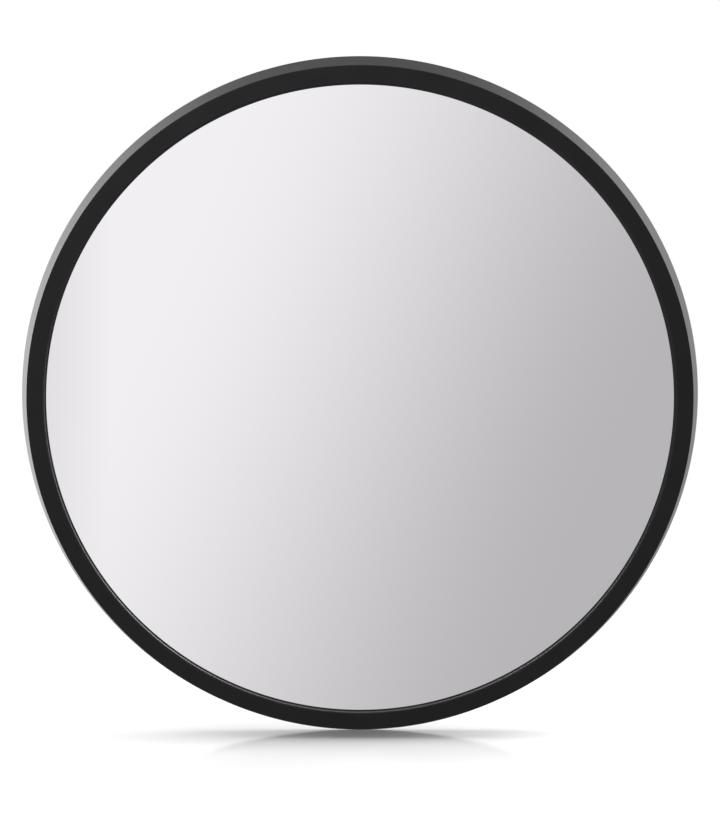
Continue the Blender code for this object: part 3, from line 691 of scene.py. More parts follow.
def bezel():
    """The rim. Its round inner edge is a ring of its own, which takes the light of the glints."""
    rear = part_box("front_bezel")[1]
    depth = rear.y - FACE_Y
    inner = FACE_RADIUS - BEZEL_WALL
    split = LIP_RADIUS + LIP_EDGE
    edge = arc(LIP_EDGE, 1.5 * pi, pi, 8, (split, LIP_EDGE))
    lip = [(LIP_RADIUS, FACE_WALL), *edge, (split, FACE_WALL)]
    place("bezel_lip", lathe(lip, RING_SIDES), HEAD, "black_abs", "front_bezel", at=AT_FACE)
    corners = [
        (split, FACE_WALL),
        (split, 0.0),
        (FACE_RADIUS, 0.0, BEZEL_EDGE),
        (rear.x, depth, 0.0006),
        (rear.x - BEZEL_WALL, depth, 0.0006),
        (inner + (rear.x - FACE_RADIUS) * FACE_WALL / depth, FACE_WALL, 0.0008),
    ]
    places = on_circle(*COVER_SCREWS)
    bosses = copies(rod(BOSS_RADIUS, *BOSS_DEPTHS), places)
    pilots = copies(rod(COVER_SCREW_RADIUS + CLEAR, PILOT_DEPTH, BOSS_DEPTHS[1] + PAST), places)
    mesh = cut(joined(turned(corners, RING_SIDES, steps=6), bosses), pilots)
    place("bezel", mesh, HEAD, "black_abs", "front_bezel", at=AT_FACE)


def dome():
    """The mirror, and the two rings that its flange sits between."""
    back_rim = DOME_EDGE_DEPTH + DOME_WALL
    flange_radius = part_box("mirror_dome")[1].x
    flange_rear = DOME_FLANGE_DEPTH + DOME_WALL
    front = cap_arc(DOME_RADIUS, DOME_EDGE_DEPTH, DOME_RISE, DOME_STEPS)
    back = cap_arc(DOME_RADIUS - DOME_SHOULDER, back_rim, DOME_RISE, DOME_STEPS)
    flange = [
        (DOME_RADIUS, flange_rear),
        (flange_radius, flange_rear),
        (flange_radius, DOME_FLANGE_DEPTH),
        (DOME_RADIUS + DOME_SHOULDER, DOME_FLANGE_DEPTH),
    ]
    mesh = lathe(back[::-1] + flange + front, RING_SIDES)
    place("mirror", mesh, HEAD, "mirror_acrylic", "mirror_dome", at=AT_FACE)
    flat_ring("gasket", "dome_gasket", HEAD, "black_rubber", STRIP_INNER_RADIUS, 0.0004)
    flat_ring("foam", "foam_ring", HEAD, "grey_foam", STRIP_INNER_RADIUS, 0.0006)


def cone_depth(radius):
    """How deep the cover's back is at a radius."""
    slope = (PAD_DEPTH - COVER_RIM_DEPTH) / (CONE_RADIUS - PAD_RADIUS)
    return PAD_DEPTH - slope * max(0.0, radius - PAD_RADIUS)


def cover_bead(radius, height):
    """Corners of a low ring that stands out of the cover's back."""
    corners = []
    for offset, proud in ((-1.0, 0.0), (-BEAD_TOP, height), (BEAD_TOP, height), (1.0, 0.0)):
        r = radius + offset * BEAD_HALF_WIDTH
        corners.append((r, cone_depth(r) + proud, 0.0008))
    return corners


def cover():
    """The moulded back: a pad for the socket, a ribbed cone and a rim for the screws."""
    wall = COVER_WALL
    pad_bead, *cone_beads = COVER_BEADS
    corners = [(0.0, PAD_DEPTH)] + cover_bead(*pad_bead)
    corners.append((PAD_RADIUS, PAD_DEPTH, PAD_BLEND))
    for bead in cone_beads:
        corners += cover_bead(*bead)
    corners += [
        (CONE_RADIUS, COVER_RIM_DEPTH, RIM_BLEND),
        (COVER_RIM_RADIUS, COVER_RIM_DEPTH, 0.0006),
        (COVER_RIM_RADIUS, COVER_RIM_DEPTH - wall, 0.0004),
        (RIB_RADII[1], COVER_RIM_DEPTH - wall, 0.0008),
        (RIB_RADII[1], RIB_DEPTH, 0.0005),
        (RIB_RADII[0], RIB_DEPTH, 0.0005),
        (RIB_RADII[0], COVER_RIM_DEPTH - wall, 0.0008),
        (CONE_RADIUS, COVER_RIM_DEPTH - wall, RIM_BLEND),
        (PAD_RADIUS, PAD_DEPTH - wall, PAD_BLEND),
        (0.0, PAD_DEPTH - wall),
    ]
    stiffeners = copies(stiffener(), on_circle(0.0, STIFFENER_COUNT, 0.0))
    mesh = joined(turned(corners, RING_SIDES), stiffeners)
    past_all = (COVER_RIM_DEPTH - wall - PAST, PAD_DEPTH + PAST)
    for radius, spots in ((COVER_SCREW_RADIUS, COVER_SCREWS), (SOCKET_SCREW_RADIUS, SOCKET_SCREWS)):
        mesh = cut(mesh, copies(rod(radius + CLEAR, *past_all), on_circle(*spots)))
    place("cover", mesh, HEAD, "black_abs", "rear_cover", at=AT_FACE)


def stiffener():
    """A rib along the cover's cone, partly sunk in it, whose ends slope down."""
    start, end = STIFFENER_RADII
    side = []
    for radius, proud in (
        (start, -STIFFENER_SUNK),
        (end, -STIFFENER_SUNK),
        (end, STIFFENER_TIP),
        (end - STIFFENER_END, STIFFENER_HEIGHT),
        (start + STIFFENER_END, STIFFENER_HEIGHT),
        (start, STIFFENER_TIP),
    ):
        side.append((radius, cone_depth(radius) + proud))
    return prism(side, -STIFFENER_WIDTH / 2, STIFFENER_WIDTH / 2, edge=0.0005)


def pan_head_screw(radius, length, head, pitch):
    """Its seat is at y = 0, the shank runs to -length and the cross-slotted head rises towards +Y."""
    head_radius, height = head
    corners = [(0.0, -length), (radius * SCREW_POINT, -length)]
    corners += rows(radius, radius - length, 0.0, pitch)
    corners += [(head_radius, 0.0, 0.0002), (head_radius, height, height * HEAD_CROWN), (0.0, height)]
    mesh = turned(corners, SMALL_SIDES, threaded(radius, radius - length, -pitch / 2, pitch))
    reach = head_radius * CROSS_REACH
    half = head_radius * CROSS_HALF_WIDTH
    slot = [(reach, half), (half, half), (half, reach), (-half, reach), (-half, half), (-reach, half)]
    slot += [(-x, -y) for x, y in slot]
    return cut(mesh, prism(slot, height * CROSS_FLOOR, height + PAST, TO_REAR, taper=CROSS_TAPER))


def screws(name, mesh, nodes, spots, at, seat):
    """Equal screws around a circle, each turned as far as it happened to be tightened."""
    mesh = dressed(mesh, ZINC)
    for i, spot in enumerate(on_circle(*spots), 1):
        tightened = along(seat) @ Matrix.Rotation(SCREW_TURN * i, 4, "Y")
        place(f"{name}_{i}", mesh, HEAD, ZINC, f"{nodes}_{i}", at=at @ spot @ tightened)


def cover_screws():
    """The screws that hold the cover in the rim."""
    mesh = pan_head_screw(COVER_SCREW_RADIUS, COVER_SCREW_LENGTH, COVER_SCREW_HEAD, COVER_SCREW_PITCH)
    screws("rim_screw", mesh, "cover_screw", COVER_SCREWS, AT_FACE, COVER_SCREW_SEAT)


def socket_fasteners():
    """The steel disc inside the cover, and the screws and nuts that hold the socket to it."""
    low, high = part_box("backing_plate")
    half = (high.y - low.y) / 2
    bore = SOCKET_SCREW_RADIUS + CLEAR
    spots = on_circle(*SOCKET_SCREWS)
    holes = copies(rod(bore, -half - PAST, half + PAST), spots)
    mesh = cut(rod(high.x, -half, half, ROUND_SIDES, edge=0.0003), holes)
    place("backing_disc", mesh, HEAD, ZINC, "backing_plate", at=Matrix.Translation((low + high) / 2))

    length = JOINTS["mirror_pan"].y + SOCKET_SCREW_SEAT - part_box("socket_screw_1")[0].y
    mesh = pan_head_screw(SOCKET_SCREW_RADIUS, length, SOCKET_SCREW_HEAD, SOCKET_SCREW_PITCH)
    screws("flange_screw", mesh, "socket_screw", SOCKET_SCREWS, AT_BALL, SOCKET_SCREW_SEAT)

    low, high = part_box("socket_nut_1")
    thick = high.y - low.y
    mesh = hexagon(SOCKET_NUT_FLATS, 0.0, thick)
    mesh = dressed(cut(mesh, rod(bore, -PAST, thick + PAST)), ZINC)
    for i, spot in enumerate(spots, 1):
        node = f"socket_nut_{i}"
        place(f"flange_nut_{i}", mesh, HEAD, ZINC, node, at=along(low.y) @ spot)


# ---- ball joint


def socket():
    """A flanged cup with gussets and a threaded neck. Its bowl is concentric with the ball."""
    bowl = arc(SOCKET_SPHERE, acos(SOCKET_RIM / SOCKET_SPHERE), pi, 24)
    shoulder_radius, shoulder = SOCKET_SHOULDER
    corners = [
        (0.0, SOCKET_BASE),
        (FLANGE_RADIUS, SOCKET_BASE, 0.0005),
        (FLANGE_RADIUS, FLANGE_REAR, 0.0012),
        (SOCKET_ROOT_RADIUS, FLANGE_REAR, 0.0016),
        (shoulder_radius, shoulder, 0.0008),
        (NECK_RADIUS, shoulder),
    ]
    first_row = shoulder + NECK_PITCH / ROWS_PER_TURN
    corners += rows(NECK_RADIUS, first_row, SOCKET_RIM, NECK_PITCH) + bowl
    mesh = turned(corners, shape=threaded(NECK_RADIUS, shoulder, SOCKET_RIM, NECK_PITCH))

    root, toe = GUSSET_RADII
    top_radius, below_shoulder = GUSSET_TOP
    sunk = FLANGE_REAR - GUSSET_SUNK
    gusset = [(root, sunk), (toe, sunk), (toe, FLANGE_REAR + GUSSET_TOE)]
    gusset.append((top_radius, shoulder - below_shoulder))
    rib = prism(gusset, -GUSSET_WIDTH / 2, GUSSET_WIDTH / 2, edge=0.0004)
    hole = rod(SOCKET_SCREW_RADIUS + CLEAR, SOCKET_BASE - PAST, FLANGE_REAR + PAST)
    mesh = joined(mesh, copies(rib, on_circle(0.0, GUSSET_COUNT)))
    mesh = cut(mesh, copies(hole, on_circle(*SOCKET_SCREWS)))
    place("socket", mesh, HEAD, "black_nylon", "socket_housing", at=AT_BALL)


def fluted(r, y, angle):
    """A collar's outline with finger grooves cut into whatever reaches them."""
    pitch = 2 * pi / COLLAR_FLUTES
    offset = (angle + pitch / 4 + pitch / 2) % pitch - pitch / 2
    centre = COLLAR_RADIUS + FLUTE_RADIUS / 2
    chord = FLUTE_RADIUS**2 - (centre * sin(offset)) ** 2
    return min(r, centre * cos(offset) - sqrt(chord)) if chord > 0 else r


def collar():
    """Screws on the socket's neck. Its mouth is concentric with the ball and holds it in."""
    front, rear = COLLAR_Y
    mouth = arc(SOCKET_SPHERE, COLLAR_MOUTH_ANGLE, acos(COLLAR_SHOULDER / SOCKET_SPHERE), 16)
    corners = [
        (COLLAR_BORE, front, 0.0004),
        (COLLAR_RADIUS, front, 0.0007),
        (COLLAR_RADIUS, rear - COLLAR_CHAMFER, 0.001),
        (COLLAR_RADIUS - COLLAR_CHAMFER, rear, 0.001),
        (mouth[0][0] + COLLAR_MOUTH_LIP, rear, 0.0005),
    ]
    corners += mouth + [(COLLAR_BORE, COLLAR_SHOULDER)]
    mesh = turned(corners, 2 * RING_SIDES, fluted, steps=6)
    place("collar", mesh, "lock_collar", "black_nylon", "lock_collar", at=AT_BALL)


def ball_seats():
    """The nylon ring behind the ball and the nylon cup in front of it."""
    inner, outer = SEAT_RADII
    low, high = SEAT_RING_ANGLES
    mesh = lathe(arc(outer, low, high, 20) + arc(inner, high, low, 20), ROUND_SIDES)
    place("seat", mesh, "seat_ring", "natural_nylon", "ball_seat_ring", at=AT_BALL)
    mesh = lathe(arc(inner, pi, PAD_ANGLE, 24) + arc(outer, PAD_ANGLE, pi, 24), ROUND_SIDES)
    place("pad", mesh, "friction_pad", "natural_nylon", "friction_pad", at=AT_BALL)


def ball_stud():
    """The ball on its necked and threaded stud, the jam nut and the insert that it screws into."""
    stud_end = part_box("ball_stud")[1].y - JOINTS["mirror_pan"].y
    neck = asin(STUD_NECK_RADIUS / BALL_RADIUS)
    thread = (BALL_RADIUS * cos(neck) + STUD_NECK_LENGTH, stud_end - STUD_POINT)
    corners = arc(BALL_RADIUS, pi, neck, 60)
    corners.append((STUD_NECK_RADIUS, thread[0] - STUD_BLEND, 0.0004))
    corners += rows(STUD_RADIUS, *thread, STUD_PITCH)
    corners += [(STUD_RADIUS - STUD_POINT, stud_end), (0.0, stud_end)]
    mesh = turned(corners, shape=threaded(STUD_RADIUS, *thread, STUD_PITCH))
    place("ball_on_stud", mesh, SLIDE, "polished_steel", "ball_stud", at=AT_BALL)

    low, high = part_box("stud_locknut")
    thick = high.y - low.y
    bore = STUD_RADIUS + CLEAR
    mesh = hexagon(LOCKNUT_FLATS, 0.0, thick)
    mesh = cut(mesh, rod(bore, -PAST, thick + PAST))
    place("jam_nut", mesh, SLIDE, ZINC, "stud_locknut", at=along(low.y))

    low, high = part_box("end_insert")
    length = high.y - low.y
    plug = INNER_RADII[0] - CLEAR
    corners = [
        (bore, 0.0, 0.0002),
        (high.x, 0.0, 0.0004),
        (high.x, INSERT_FLANGE, 0.0003),
        (plug, INSERT_FLANGE),
        (plug, length, 0.0004),
        (bore, length),
    ]
    place("insert", turned(corners), SLIDE, ZINC, "end_insert", at=along(low.y))


# ---- arm


def grooved(length):
    """A shape for lathe: a flat-bottomed groove along the underside, which the hand screw bears on."""
    start, end = GROOVE_MARGINS[0], length - GROOVE_MARGINS[1]
    outer = INNER_RADII[1]

    def shape(r, y, angle):
        beneath = sin(angle) < 0 and abs(r * cos(angle)) <= GROOVE_HALF_WIDTH
        if r < outer - ON_AXIS or not beneath:
            return r
        floor_radius = (outer - GROOVE_DEPTH) / -sin(angle)
        fade = min(1.0, max(0.0, y - start) / RUN_OUT, max(0.0, end - y) / RUN_OUT)
        return r - max(0.0, r - floor_radius) * fade

    run_out = [RUN_OUT * i / RUN_OUT_STEPS for i in range(RUN_OUT_STEPS + 1)]
    return shape, [start + run for run in run_out] + [end - run for run in run_out[::-1]]


def inner_tube():
    """The sliding tube and the plug that guides its tail."""
    low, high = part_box("inner_tube")
    length = high.y - low.y
    inner, outer = INNER_RADII
    shape, steps = grooved(length)
    corners = [(inner, 0.0, 0.0003), (outer, 0.0, 0.0004)]
    corners += [(outer, y) for y in steps]
    corners += [(outer, length, 0.0004), (inner, length, 0.0003)]
    mesh = turned(corners, RING_SIDES, shape)
    place("slide_tube", mesh, SLIDE, ZINC, "inner_tube", at=along(low.y))

    low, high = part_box("tail_guide")
    corners = [
        (0.0, 0.0),
        (inner - CLEAR, 0.0, 0.0006),
        (inner - CLEAR, TAIL_PLUG + CLEAR),
        (high.x, TAIL_PLUG + CLEAR, 0.0005),
        (high.x, high.y - low.y, 0.0008),
        (0.0, high.y - low.y),
    ]
    place("tail_plug", turned(corners), SLIDE, "natural_nylon", "tail_guide", at=along(low.y))


def upright_rod(radius, y, low, high):
    """A round bar along Z, to cut a hole."""
    return rod(radius, low, high, SMALL_SIDES, along(y) @ UPRIGHT)


def outer_tube():
    """The outer tube with its boss for the hand screw, the bush in its mouth and the cross pin."""
    front, rear = span("outer_tube", "Y")
    bore, outside = OUTER_RADII
    clamp_y = JOINTS["clamp_turn"].y
    corners = [(0.0, CLAMP_BOSS_Z), (CLAMP_BOSS_RADIUS, CLAMP_BOSS_Z, 0.0008)]
    corners += [(CLAMP_BOSS_RADIUS, -bore / 2), (0.0, -bore / 2)]
    boss = turned(corners, across=along(clamp_y) @ UPRIGHT)
    mesh = joined(rod(outside, front, rear, ROUND_SIDES, edge=0.0005), boss)
    clamp_hole = upright_rod(CLAMP_RADIUS + CLEAR, clamp_y, CLAMP_BOSS_Z - PAST, 0.0)
    pin_end = outside + PAST
    pin_hole = upright_rod(TUBE_PIN_RADIUS + CLEAR, TUBE_PIN_Y, -pin_end, pin_end)
    mesh = cut(mesh, rod(bore, front - PAST, rear + PAST, ROUND_SIDES), clamp_hole, pin_hole)
    place("arm_tube", mesh, ARM, "black_steel", "outer_tube")

    seam = []
    for i in range(BOSS_WELD_STEPS):
        angle = 2 * pi * i / BOSS_WELD_STEPS
        x = CLAMP_BOSS_RADIUS * cos(angle)
        seam.append((x, clamp_y + CLAMP_BOSS_RADIUS * sin(angle), -sqrt(outside**2 - x**2)))
    place("boss_weld", weld(seam, BOSS_WELD_RADIUS), ARM, "black_steel")

    flange_front, bush_rear = span("guide_bush", "Y")
    slide = INNER_RADII[1] + CLEAR
    corners = [
        (slide, bush_rear, 0.0003),
        (bore - CLEAR, bush_rear, 0.0003),
        (bore - CLEAR, flange_front + BUSH_FLANGE),
        (outside, flange_front + BUSH_FLANGE, 0.0003),
        (outside, flange_front, 0.001),
        (slide, flange_front, 0.0004),
    ]
    place("mouth_bush", cut(turned(corners), clamp_hole), ARM, "black_nylon", "guide_bush")

    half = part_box("tube_pin")[1].z
    mesh = rod(TUBE_PIN_RADIUS, -half, half, SMALL_SIDES, UPRIGHT, 0.0006)
    place("cross_pin", mesh, ARM, ZINC, "tube_pin", at=along(TUBE_PIN_Y))


def knuckle():
    """A barrel on the pivot bolt, a block, and a spigot inside the outer tube."""
    pivot_y = JOINTS["arm_swing"].y
    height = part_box("arm_knuckle")[1].z
    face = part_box("outer_tube")[1].y + CLEAR - pivot_y
    plug = OUTER_RADII[0] - CLEAR
    barrel = rod(KNUCKLE_RADIUS, -height, height, ROUND_SIDES, UPRIGHT, 0.001)
    width = KNUCKLE_HALF_WIDTH
    inset = height - KNUCKLE_INSET
    outline = [(-width, 0.0), (width, 0.0), (width, face + PAST), (-width, face + PAST)]
    block = prism(outline, -inset, inset, edge=0.0012)
    corners = [
        (0.0, face + SPIGOT_COLLAR),
        (KNUCKLE_RADIUS, face + SPIGOT_COLLAR, 0.0006),
        (KNUCKLE_RADIUS, face, 0.0006),
        (plug, face),
        (plug, face - SPIGOT_LENGTH, 0.0008),
        (0.0, face - SPIGOT_LENGTH),
    ]
    past = (-height - PAST, height + PAST)
    bore = upright_rod(PIVOT_RADIUS + CLEAR, 0.0, *past)
    pin_hole = upright_rod(TUBE_PIN_RADIUS + CLEAR, TUBE_PIN_Y - pivot_y, *past)
    mesh = cut(joined(barrel, block, turned(corners)), bore, pin_hole)
    place("knuckle", mesh, ARM, "black_steel", "arm_knuckle", at=AT_PIVOT)


def lobed(r, y, angle):
    """A knob's outline drawn in between its lobes, less towards the middle."""
    depth = KNOB_SCALLOP * (1 - cos(KNOB_LOBES * angle))
    return r - depth * (r / KNOB_RADIUS) ** 4


def clamp():
    """The hand screw under the outer tube and the knob on its end."""
    low, high = span("clamp_screw", "Z")
    point = high - CLAMP_POINT
    corners = [(0.0, low), (CLAMP_RADIUS, low)]
    corners += rows(CLAMP_RADIUS, low + CLAMP_PITCH / 2, point, CLAMP_PITCH)
    corners += [(CLAMP_RADIUS * SCREW_POINT, high, 0.0004), (0.0, high)]
    shape = threaded(CLAMP_RADIUS, low, point, CLAMP_PITCH)
    mesh = turned(corners, SMALL_SIDES, shape, UPRIGHT)
    place("hand_screw", mesh, "clamp_screw", ZINC, "clamp_screw", at=AT_CLAMP)

    bottom, top = span("clamp_knob", "Z")
    bore = CLAMP_RADIUS + CLEAR
    hollow, hollow_edge = KNOB_HOLLOW
    middle_depth, hollow_depth = KNOB_HOLLOW_DEPTHS
    hub, groove = KNOB_GROOVE
    groove_floor = top - KNOB_GROOVE_DEPTH
    corners = [
        (0.0, bottom + middle_depth),
        (hollow, bottom + hollow_depth, 0.0008),
        (hollow_edge, bottom, 0.0008),
        (KNOB_RADIUS, bottom, 0.0022),
        (KNOB_RADIUS, top, 0.0022),
        (groove + 0.0005, top, 0.0008),
        (groove, groove_floor, 0.0008),
        (hub, groove_floor, 0.0006),
        (hub - 0.0002, top - 0.0002, 0.0005),
        (bore, top - 0.0002, 0.0003),
        (bore, low - CLEAR),
        (0.0, low - CLEAR),
    ]
    mesh = turned(corners, RING_SIDES, lobed, UPRIGHT, 6)
    place("knob", mesh, "clamp_knob", "black_nylon", "clamp_knob", at=AT_CLAMP)


# ---- wall bracket


def rectangle(width, height, corner, steps):
    """A rectangle's outline with rounded corners."""
    corners = [(width, height), (-width, height), (-width, -height), (width, -height)]
    return rounded([(x / 2, y / 2, corner) for x, y in corners], steps)


def bracket():
    """The plate on the wall, with two welded ears for the pivot bolt and four slots for screws."""
    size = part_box("wall_plate")[1]
    pivot_y = JOINTS["arm_swing"].y
    plate = rectangle(2 * size.x, 2 * size.z, PLATE_CORNER, 10)
    plate = prism(plate, 0.0, PLATE_WALL, UPRIGHT)
    outline = rectangle(*SLOT_SIZE, SLOT_SIZE[0] / 2, 10)
    slot = prism(outline, -PAST, PLATE_WALL + PAST, UPRIGHT)
    x, z = SLOT_PLACE
    places = [Matrix.Translation((sx * x, 0, sz * z)) for sx in (1, -1) for sz in (1, -1)]
    plate = eased(cut(plate, copies(slot, places)), 0.0005)

    root = -PLATE_WALL / 2
    ear = [(-EAR_RADIUS, root), (EAR_RADIUS, root)]
    for i in range(EAR_STEPS + 1):
        angle = pi * i / EAR_STEPS
        ear.append((EAR_RADIUS * cos(angle), pivot_y - EAR_RADIUS * sin(angle)))
    ear_top = EAR_HALF_GAP + EAR_WALL
    upper = prism(ear, EAR_HALF_GAP, ear_top, edge=0.0005)
    lower = Matrix.Translation((0, 0, -EAR_HALF_GAP - ear_top))
    bolt_hole = upright_rod(PIVOT_RADIUS + CLEAR, pivot_y, -ear_top - PAST, ear_top + PAST)
    mesh = cut(joined(plate, copies(upper, [STAY, lower])), bolt_hole)
    place("bracket", mesh, WALL, "black_steel", "wall_plate")

    loop = rectangle(2 * EAR_RADIUS, EAR_WALL, EAR_WELD_RADIUS, 6)
    seam = []
    for i, (x, z) in enumerate(loop):
        after = Vector(loop[(i + 1) % len(loop)])
        steps = max(1, round((after - Vector((x, z))).length / EAR_WELD_STEP))
        seam += [Vector((x, z)).lerp(after, k / steps) for k in range(steps)]
    middle = (EAR_HALF_GAP + ear_top) / 2
    for name, side in (("ear_weld_upper", 1), ("ear_weld_lower", -1)):
        path = [(p.x, -PLATE_WALL, side * (middle + p.y)) for p in seam]
        place(name, weld(path, EAR_WELD_RADIUS), WALL, "black_steel")


def pivot_hardware():
    """The pivot bolt through ears and knuckle, with its washers and its locking nut."""
    bore = PIVOT_RADIUS + CLEAR
    washers = (
        ("washer_top", "bolt_washer", ZINC),
        ("washer_bottom", "nut_washer", ZINC),
        ("friction_top", "friction_washer_upper", "natural_nylon"),
        ("friction_bottom", "friction_washer_lower", "natural_nylon"),
    )
    for name, node, slot in washers:
        flat_ring(name, node, WALL, slot, bore, 0.0004, UPRIGHT)

    low, high = span("pivot_bolt", "Z")
    seat = high - PIVOT_HEAD
    mesh = hexagon(PIVOT_FLATS, seat, high, (False, True))
    thread = (low + PIVOT_POINT, PIVOT_THREAD_ABOVE - EAR_HALF_GAP)
    corners = [(0.0, low), (PIVOT_RADIUS - PIVOT_POINT, low)]
    corners += rows(PIVOT_RADIUS, *thread, PIVOT_PITCH)
    corners += [(PIVOT_RADIUS, seat + PAST), (0.0, seat + PAST)]
    mesh = joined(mesh, turned(corners, SMALL_SIDES, threaded(PIVOT_RADIUS, *thread, PIVOT_PITCH)))
    mesh.transform(UPRIGHT)
    place("hinge_bolt", mesh, WALL, ZINC, "pivot_bolt", at=AT_PIVOT)

    low, high = span("pivot_nut", "Z")
    ring_bore, ring_outside = NUT_COLLAR_RADII
    base = low + NUT_COLLAR_HEIGHT
    mesh = hexagon(PIVOT_FLATS, base, high, (True, False))
    corners = [(0.0, low), (ring_outside - NUT_LIP, low, 0.0004), (ring_outside, base + PAST)]
    mesh = joined(mesh, turned(corners + [(0.0, base + PAST)]))
    mesh = cut(mesh, rod(ring_bore, low - PAST, base), rod(bore, low - PAST, high + PAST))
    mesh.transform(UPRIGHT)
    place("hinge_nut", mesh, WALL, ZINC, "pivot_nut", at=AT_PIVOT)
    corners = [(NUT_RING_RADIUS, low + NUT_LIP, 0.0002), (ring_bore, low + NUT_LIP, 0.0002)]
    corners += [(ring_bore, base), (NUT_RING_RADIUS, base)]
    mesh = turned(corners, SMALL_SIDES, across=UPRIGHT)
    place("nut_ring", mesh, WALL, "natural_nylon", at=AT_PIVOT)


bezel()
dome()
cover()
cover_screws()
socket_fasteners()
socket()
collar()
ball_seats()
ball_stud()
inner_tube()
outer_tube()
knuckle()
clamp()
bracket()
pivot_hardware()

# ---- room, light and camera

CAMERA_DISTANCE = 2.195
CAMERA_ELEVATION = radians(5.4)
LENS = 144.7
AIM_BELOW = 0.0095
FLOOR_SIZE = 5.0
FLOOR_FADE = (0.7, 2.0)
GRADIENT_TILT = radians(23.5)


def floor():
    """A pale floor, as high as the mirror's lowest point, that fades into the white room."""
    lowest = cad_box[0][2]
    bm = bmesh.new()
    bmesh.ops.create_grid(bm, x_segments=8, y_segments=8, size=FLOOR_SIZE / 2)
    bmesh.ops.translate(bm, vec=(0, 0, lowest), verts=bm.verts)
    tree, shader = new_material("floor", Specular_IOR_Level=0.1)
    soft = grain(tree, 0.08, 2.0)
    tree.links.new(tint(tree, soft, (0.66, 0.66, 0.66), (0.68, 0.68, 0.68)), shader.inputs["Base Color"])
    tree.links.new(spread(tree, soft, 0.45, 0.55), shader.inputs["Roughness"])
    where = add(tree, "TexCoord").outputs["Object"]
    away = add(tree, "VectorMath", {0: where}, operation="LENGTH").outputs["Value"]
    tree.links.new(spread(tree, away, 1.0, 0.0, *FLOOR_FADE), shader.inputs["Alpha"])
    mesh = finished(bm)
    mesh.materials.append(MATERIALS["floor"])
    piece = linked("floor", mesh)
    piece.visible_glossy = False


def world():
    """White behind the object. What the mirror shows runs from light at its left and top to grey."""
    made = bpy.data.worlds.new("studio")
    made.use_nodes = True
    bpy.context.scene.world = made
    tree = made.node_tree
    background = tree.nodes["Background"]
    way = add(tree, "TexCoord").outputs["Generated"]
    axes = add(tree, "SeparateXYZ", {"Vector": way}).outputs
    tilt = (cos(GRADIENT_TILT), 0, -sin(GRADIENT_TILT))
    slope = add(tree, "VectorMath", {0: way, 1: tilt}, operation="DOT_PRODUCT")
    ramp = spread(tree, slope.outputs["Value"], 1.03, 0.55, -0.47, 0.58, "SMOOTHSTEP")
    front = maths(tree, "MULTIPLY", ramp, spread(tree, axes["X"], 0.4, 1.0, -1.0, -0.5))
    left = spread(tree, axes["X"], 2.5, 0.8, -0.4, -0.15)
    above = spread(tree, axes["Z"], 1.0, 0.4, 0.05, 0.42)
    right = spread(tree, axes["X"], 0.0, 0.7, 0.18, 0.34)
    upper = spread(tree, axes["Z"], 0.0, 1.0, 0.05, 0.2)
    far_right = spread(tree, axes["X"], 0.0, 1.8, 0.44, 0.75)
    beside = maths(tree, "ADD", maths(tree, "MULTIPLY", right, upper), far_right)
    behind = maths(tree, "MULTIPLY_ADD", left, above, beside)
    rear = spread(tree, axes["Y"], 0.0, 1.0, 0.1, 0.6)
    mix = add(tree, "Mix", {0: rear, 2: front, 3: behind}, data_type="FLOAT").outputs[0]
    seen = add(tree, "LightPath").outputs["Is Camera Ray"]
    strength = add(tree, "Mix", {0: seen, 2: mix, 3: 1.0}, data_type="FLOAT").outputs[0]
    tree.links.new(strength, background.inputs["Strength"])
    background.inputs["Color"].default_value = (1, 1, 1, 1)


def lamp(name, kind, place_at, target, power, **settings):
    """A lamp that the camera doesn't see, aimed at a target."""
    light = bpy.data.lights.new(name, kind)
    light.energy = power
    configure(light, settings)
    holder = linked(name, light)
    holder.location = place_at
    holder.rotation_euler = (Vector(target) - Vector(place_at)).to_track_quat("-Z", "Y").to_euler()
    holder.visible_camera = False
    return holder


def soft_box(name, offset, width, height, radiance):
    """A rectangular lamp at an offset from the mirror's middle, aimed at it, of an even radiance."""
    middle = Vector((0, FACE_Y, 0))
    sizes = {"shape": "RECTANGLE", "size": width, "size_y": height}
    return lamp(name, "AREA", middle + Vector(offset), middle, radiance * pi * width * height, **sizes)


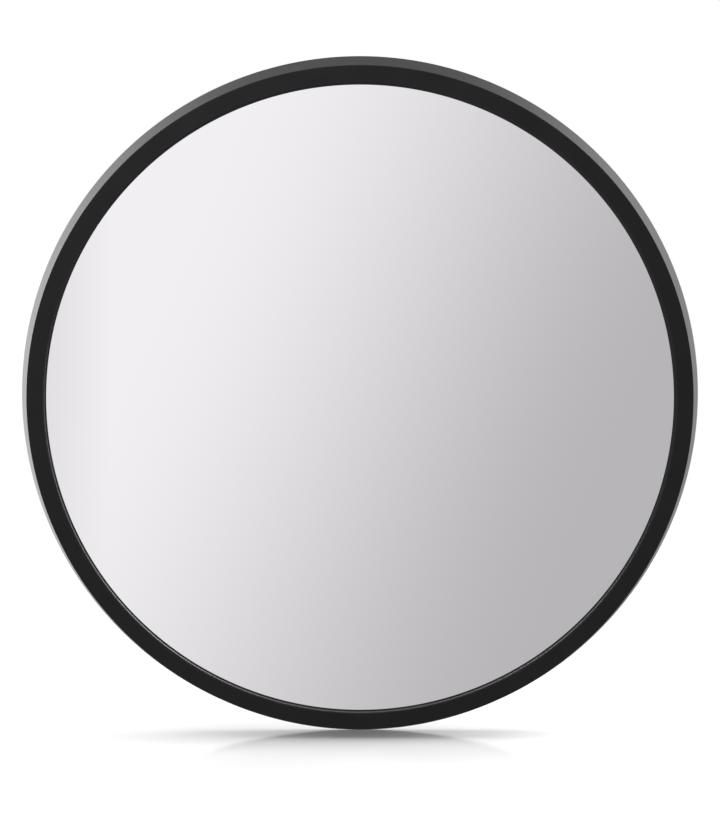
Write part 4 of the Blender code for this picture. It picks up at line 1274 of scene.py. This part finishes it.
def only_on(names, lamps):
    """Lets lamps light the named pieces and nothing else."""
    receivers = bpy.data.collections.new("lit_" + names[0])
    for name in names:
        receivers.objects.link(bpy.data.objects[name])
    for light in lamps:
        light.light_linking.receiver_collection = receivers


def studio():
    """Soft boxes for the object, low suns for the floor's shadow, and glints for the rim's inner edge."""
    soft_box("top", (0, 0.1, 1.3), 1.7, 0.6, 1.6)
    soft_box("right", (1.5, 0, 0.35), 0.5, 1.0, 4.0)
    soft_box("upper_left", (-1.0, 0, 1.0), 0.7, 0.6, 4.0)
    soft_box("key", (1.05, 0, 1.05), 0.28, 0.5, 20.0)
    fill = soft_box("fill", (-0.25, -0.3, 0.45), 0.3, 0.3, 14.5)
    fill.visible_glossy = False
    suns = [
        lamp("low_front", "SUN", (0, -2, 0.25), (0, 0, 0), 5.5, angle=radians(12)),
        lamp("low_back", "SUN", (0, 2, 0.62), (0, 0, 0), 4.0, angle=radians(6)),
    ]
    for sun in suns:
        sun.visible_glossy = False
    only_on(["floor"], suns)
    glints = [
        soft_box("glint_top", (0, -0.35, 1.25), 1.7, 0.9, 15.0),
        soft_box("glint_right", (1.5, -0.5, 0.35), 0.7, 1.0, 26.0),
        soft_box("glint_left", (-1.0, -0.4, 1.0), 0.7, 0.8, 38.0),
        soft_box("glint_key", (1.05, -0.4, 1.05), 0.45, 0.7, 150.0),
    ]
    for glint in glints:
        glint.visible_diffuse = False
    only_on(["bezel_lip"], glints)
    only_on(["bezel", "bezel_lip"], [fill])


def camera():
    """A long lens, a little above the mirror's middle, square to it."""
    data = bpy.data.cameras.new("camera")
    data.lens = LENS
    holder = linked("camera", data)
    aim = Vector((0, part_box("front_bezel")[1].y, -AIM_BELOW))
    back = Vector((0, -cos(CAMERA_ELEVATION), sin(CAMERA_ELEVATION)))
    holder.location = aim + back * CAMERA_DISTANCE
    holder.rotation_euler = (-back).to_track_quat("-Z", "Y").to_euler()
    bpy.context.scene.camera = holder


floor()
studio()
world()
camera()
bpy.context.scene.view_settings.view_transform = "Standard"
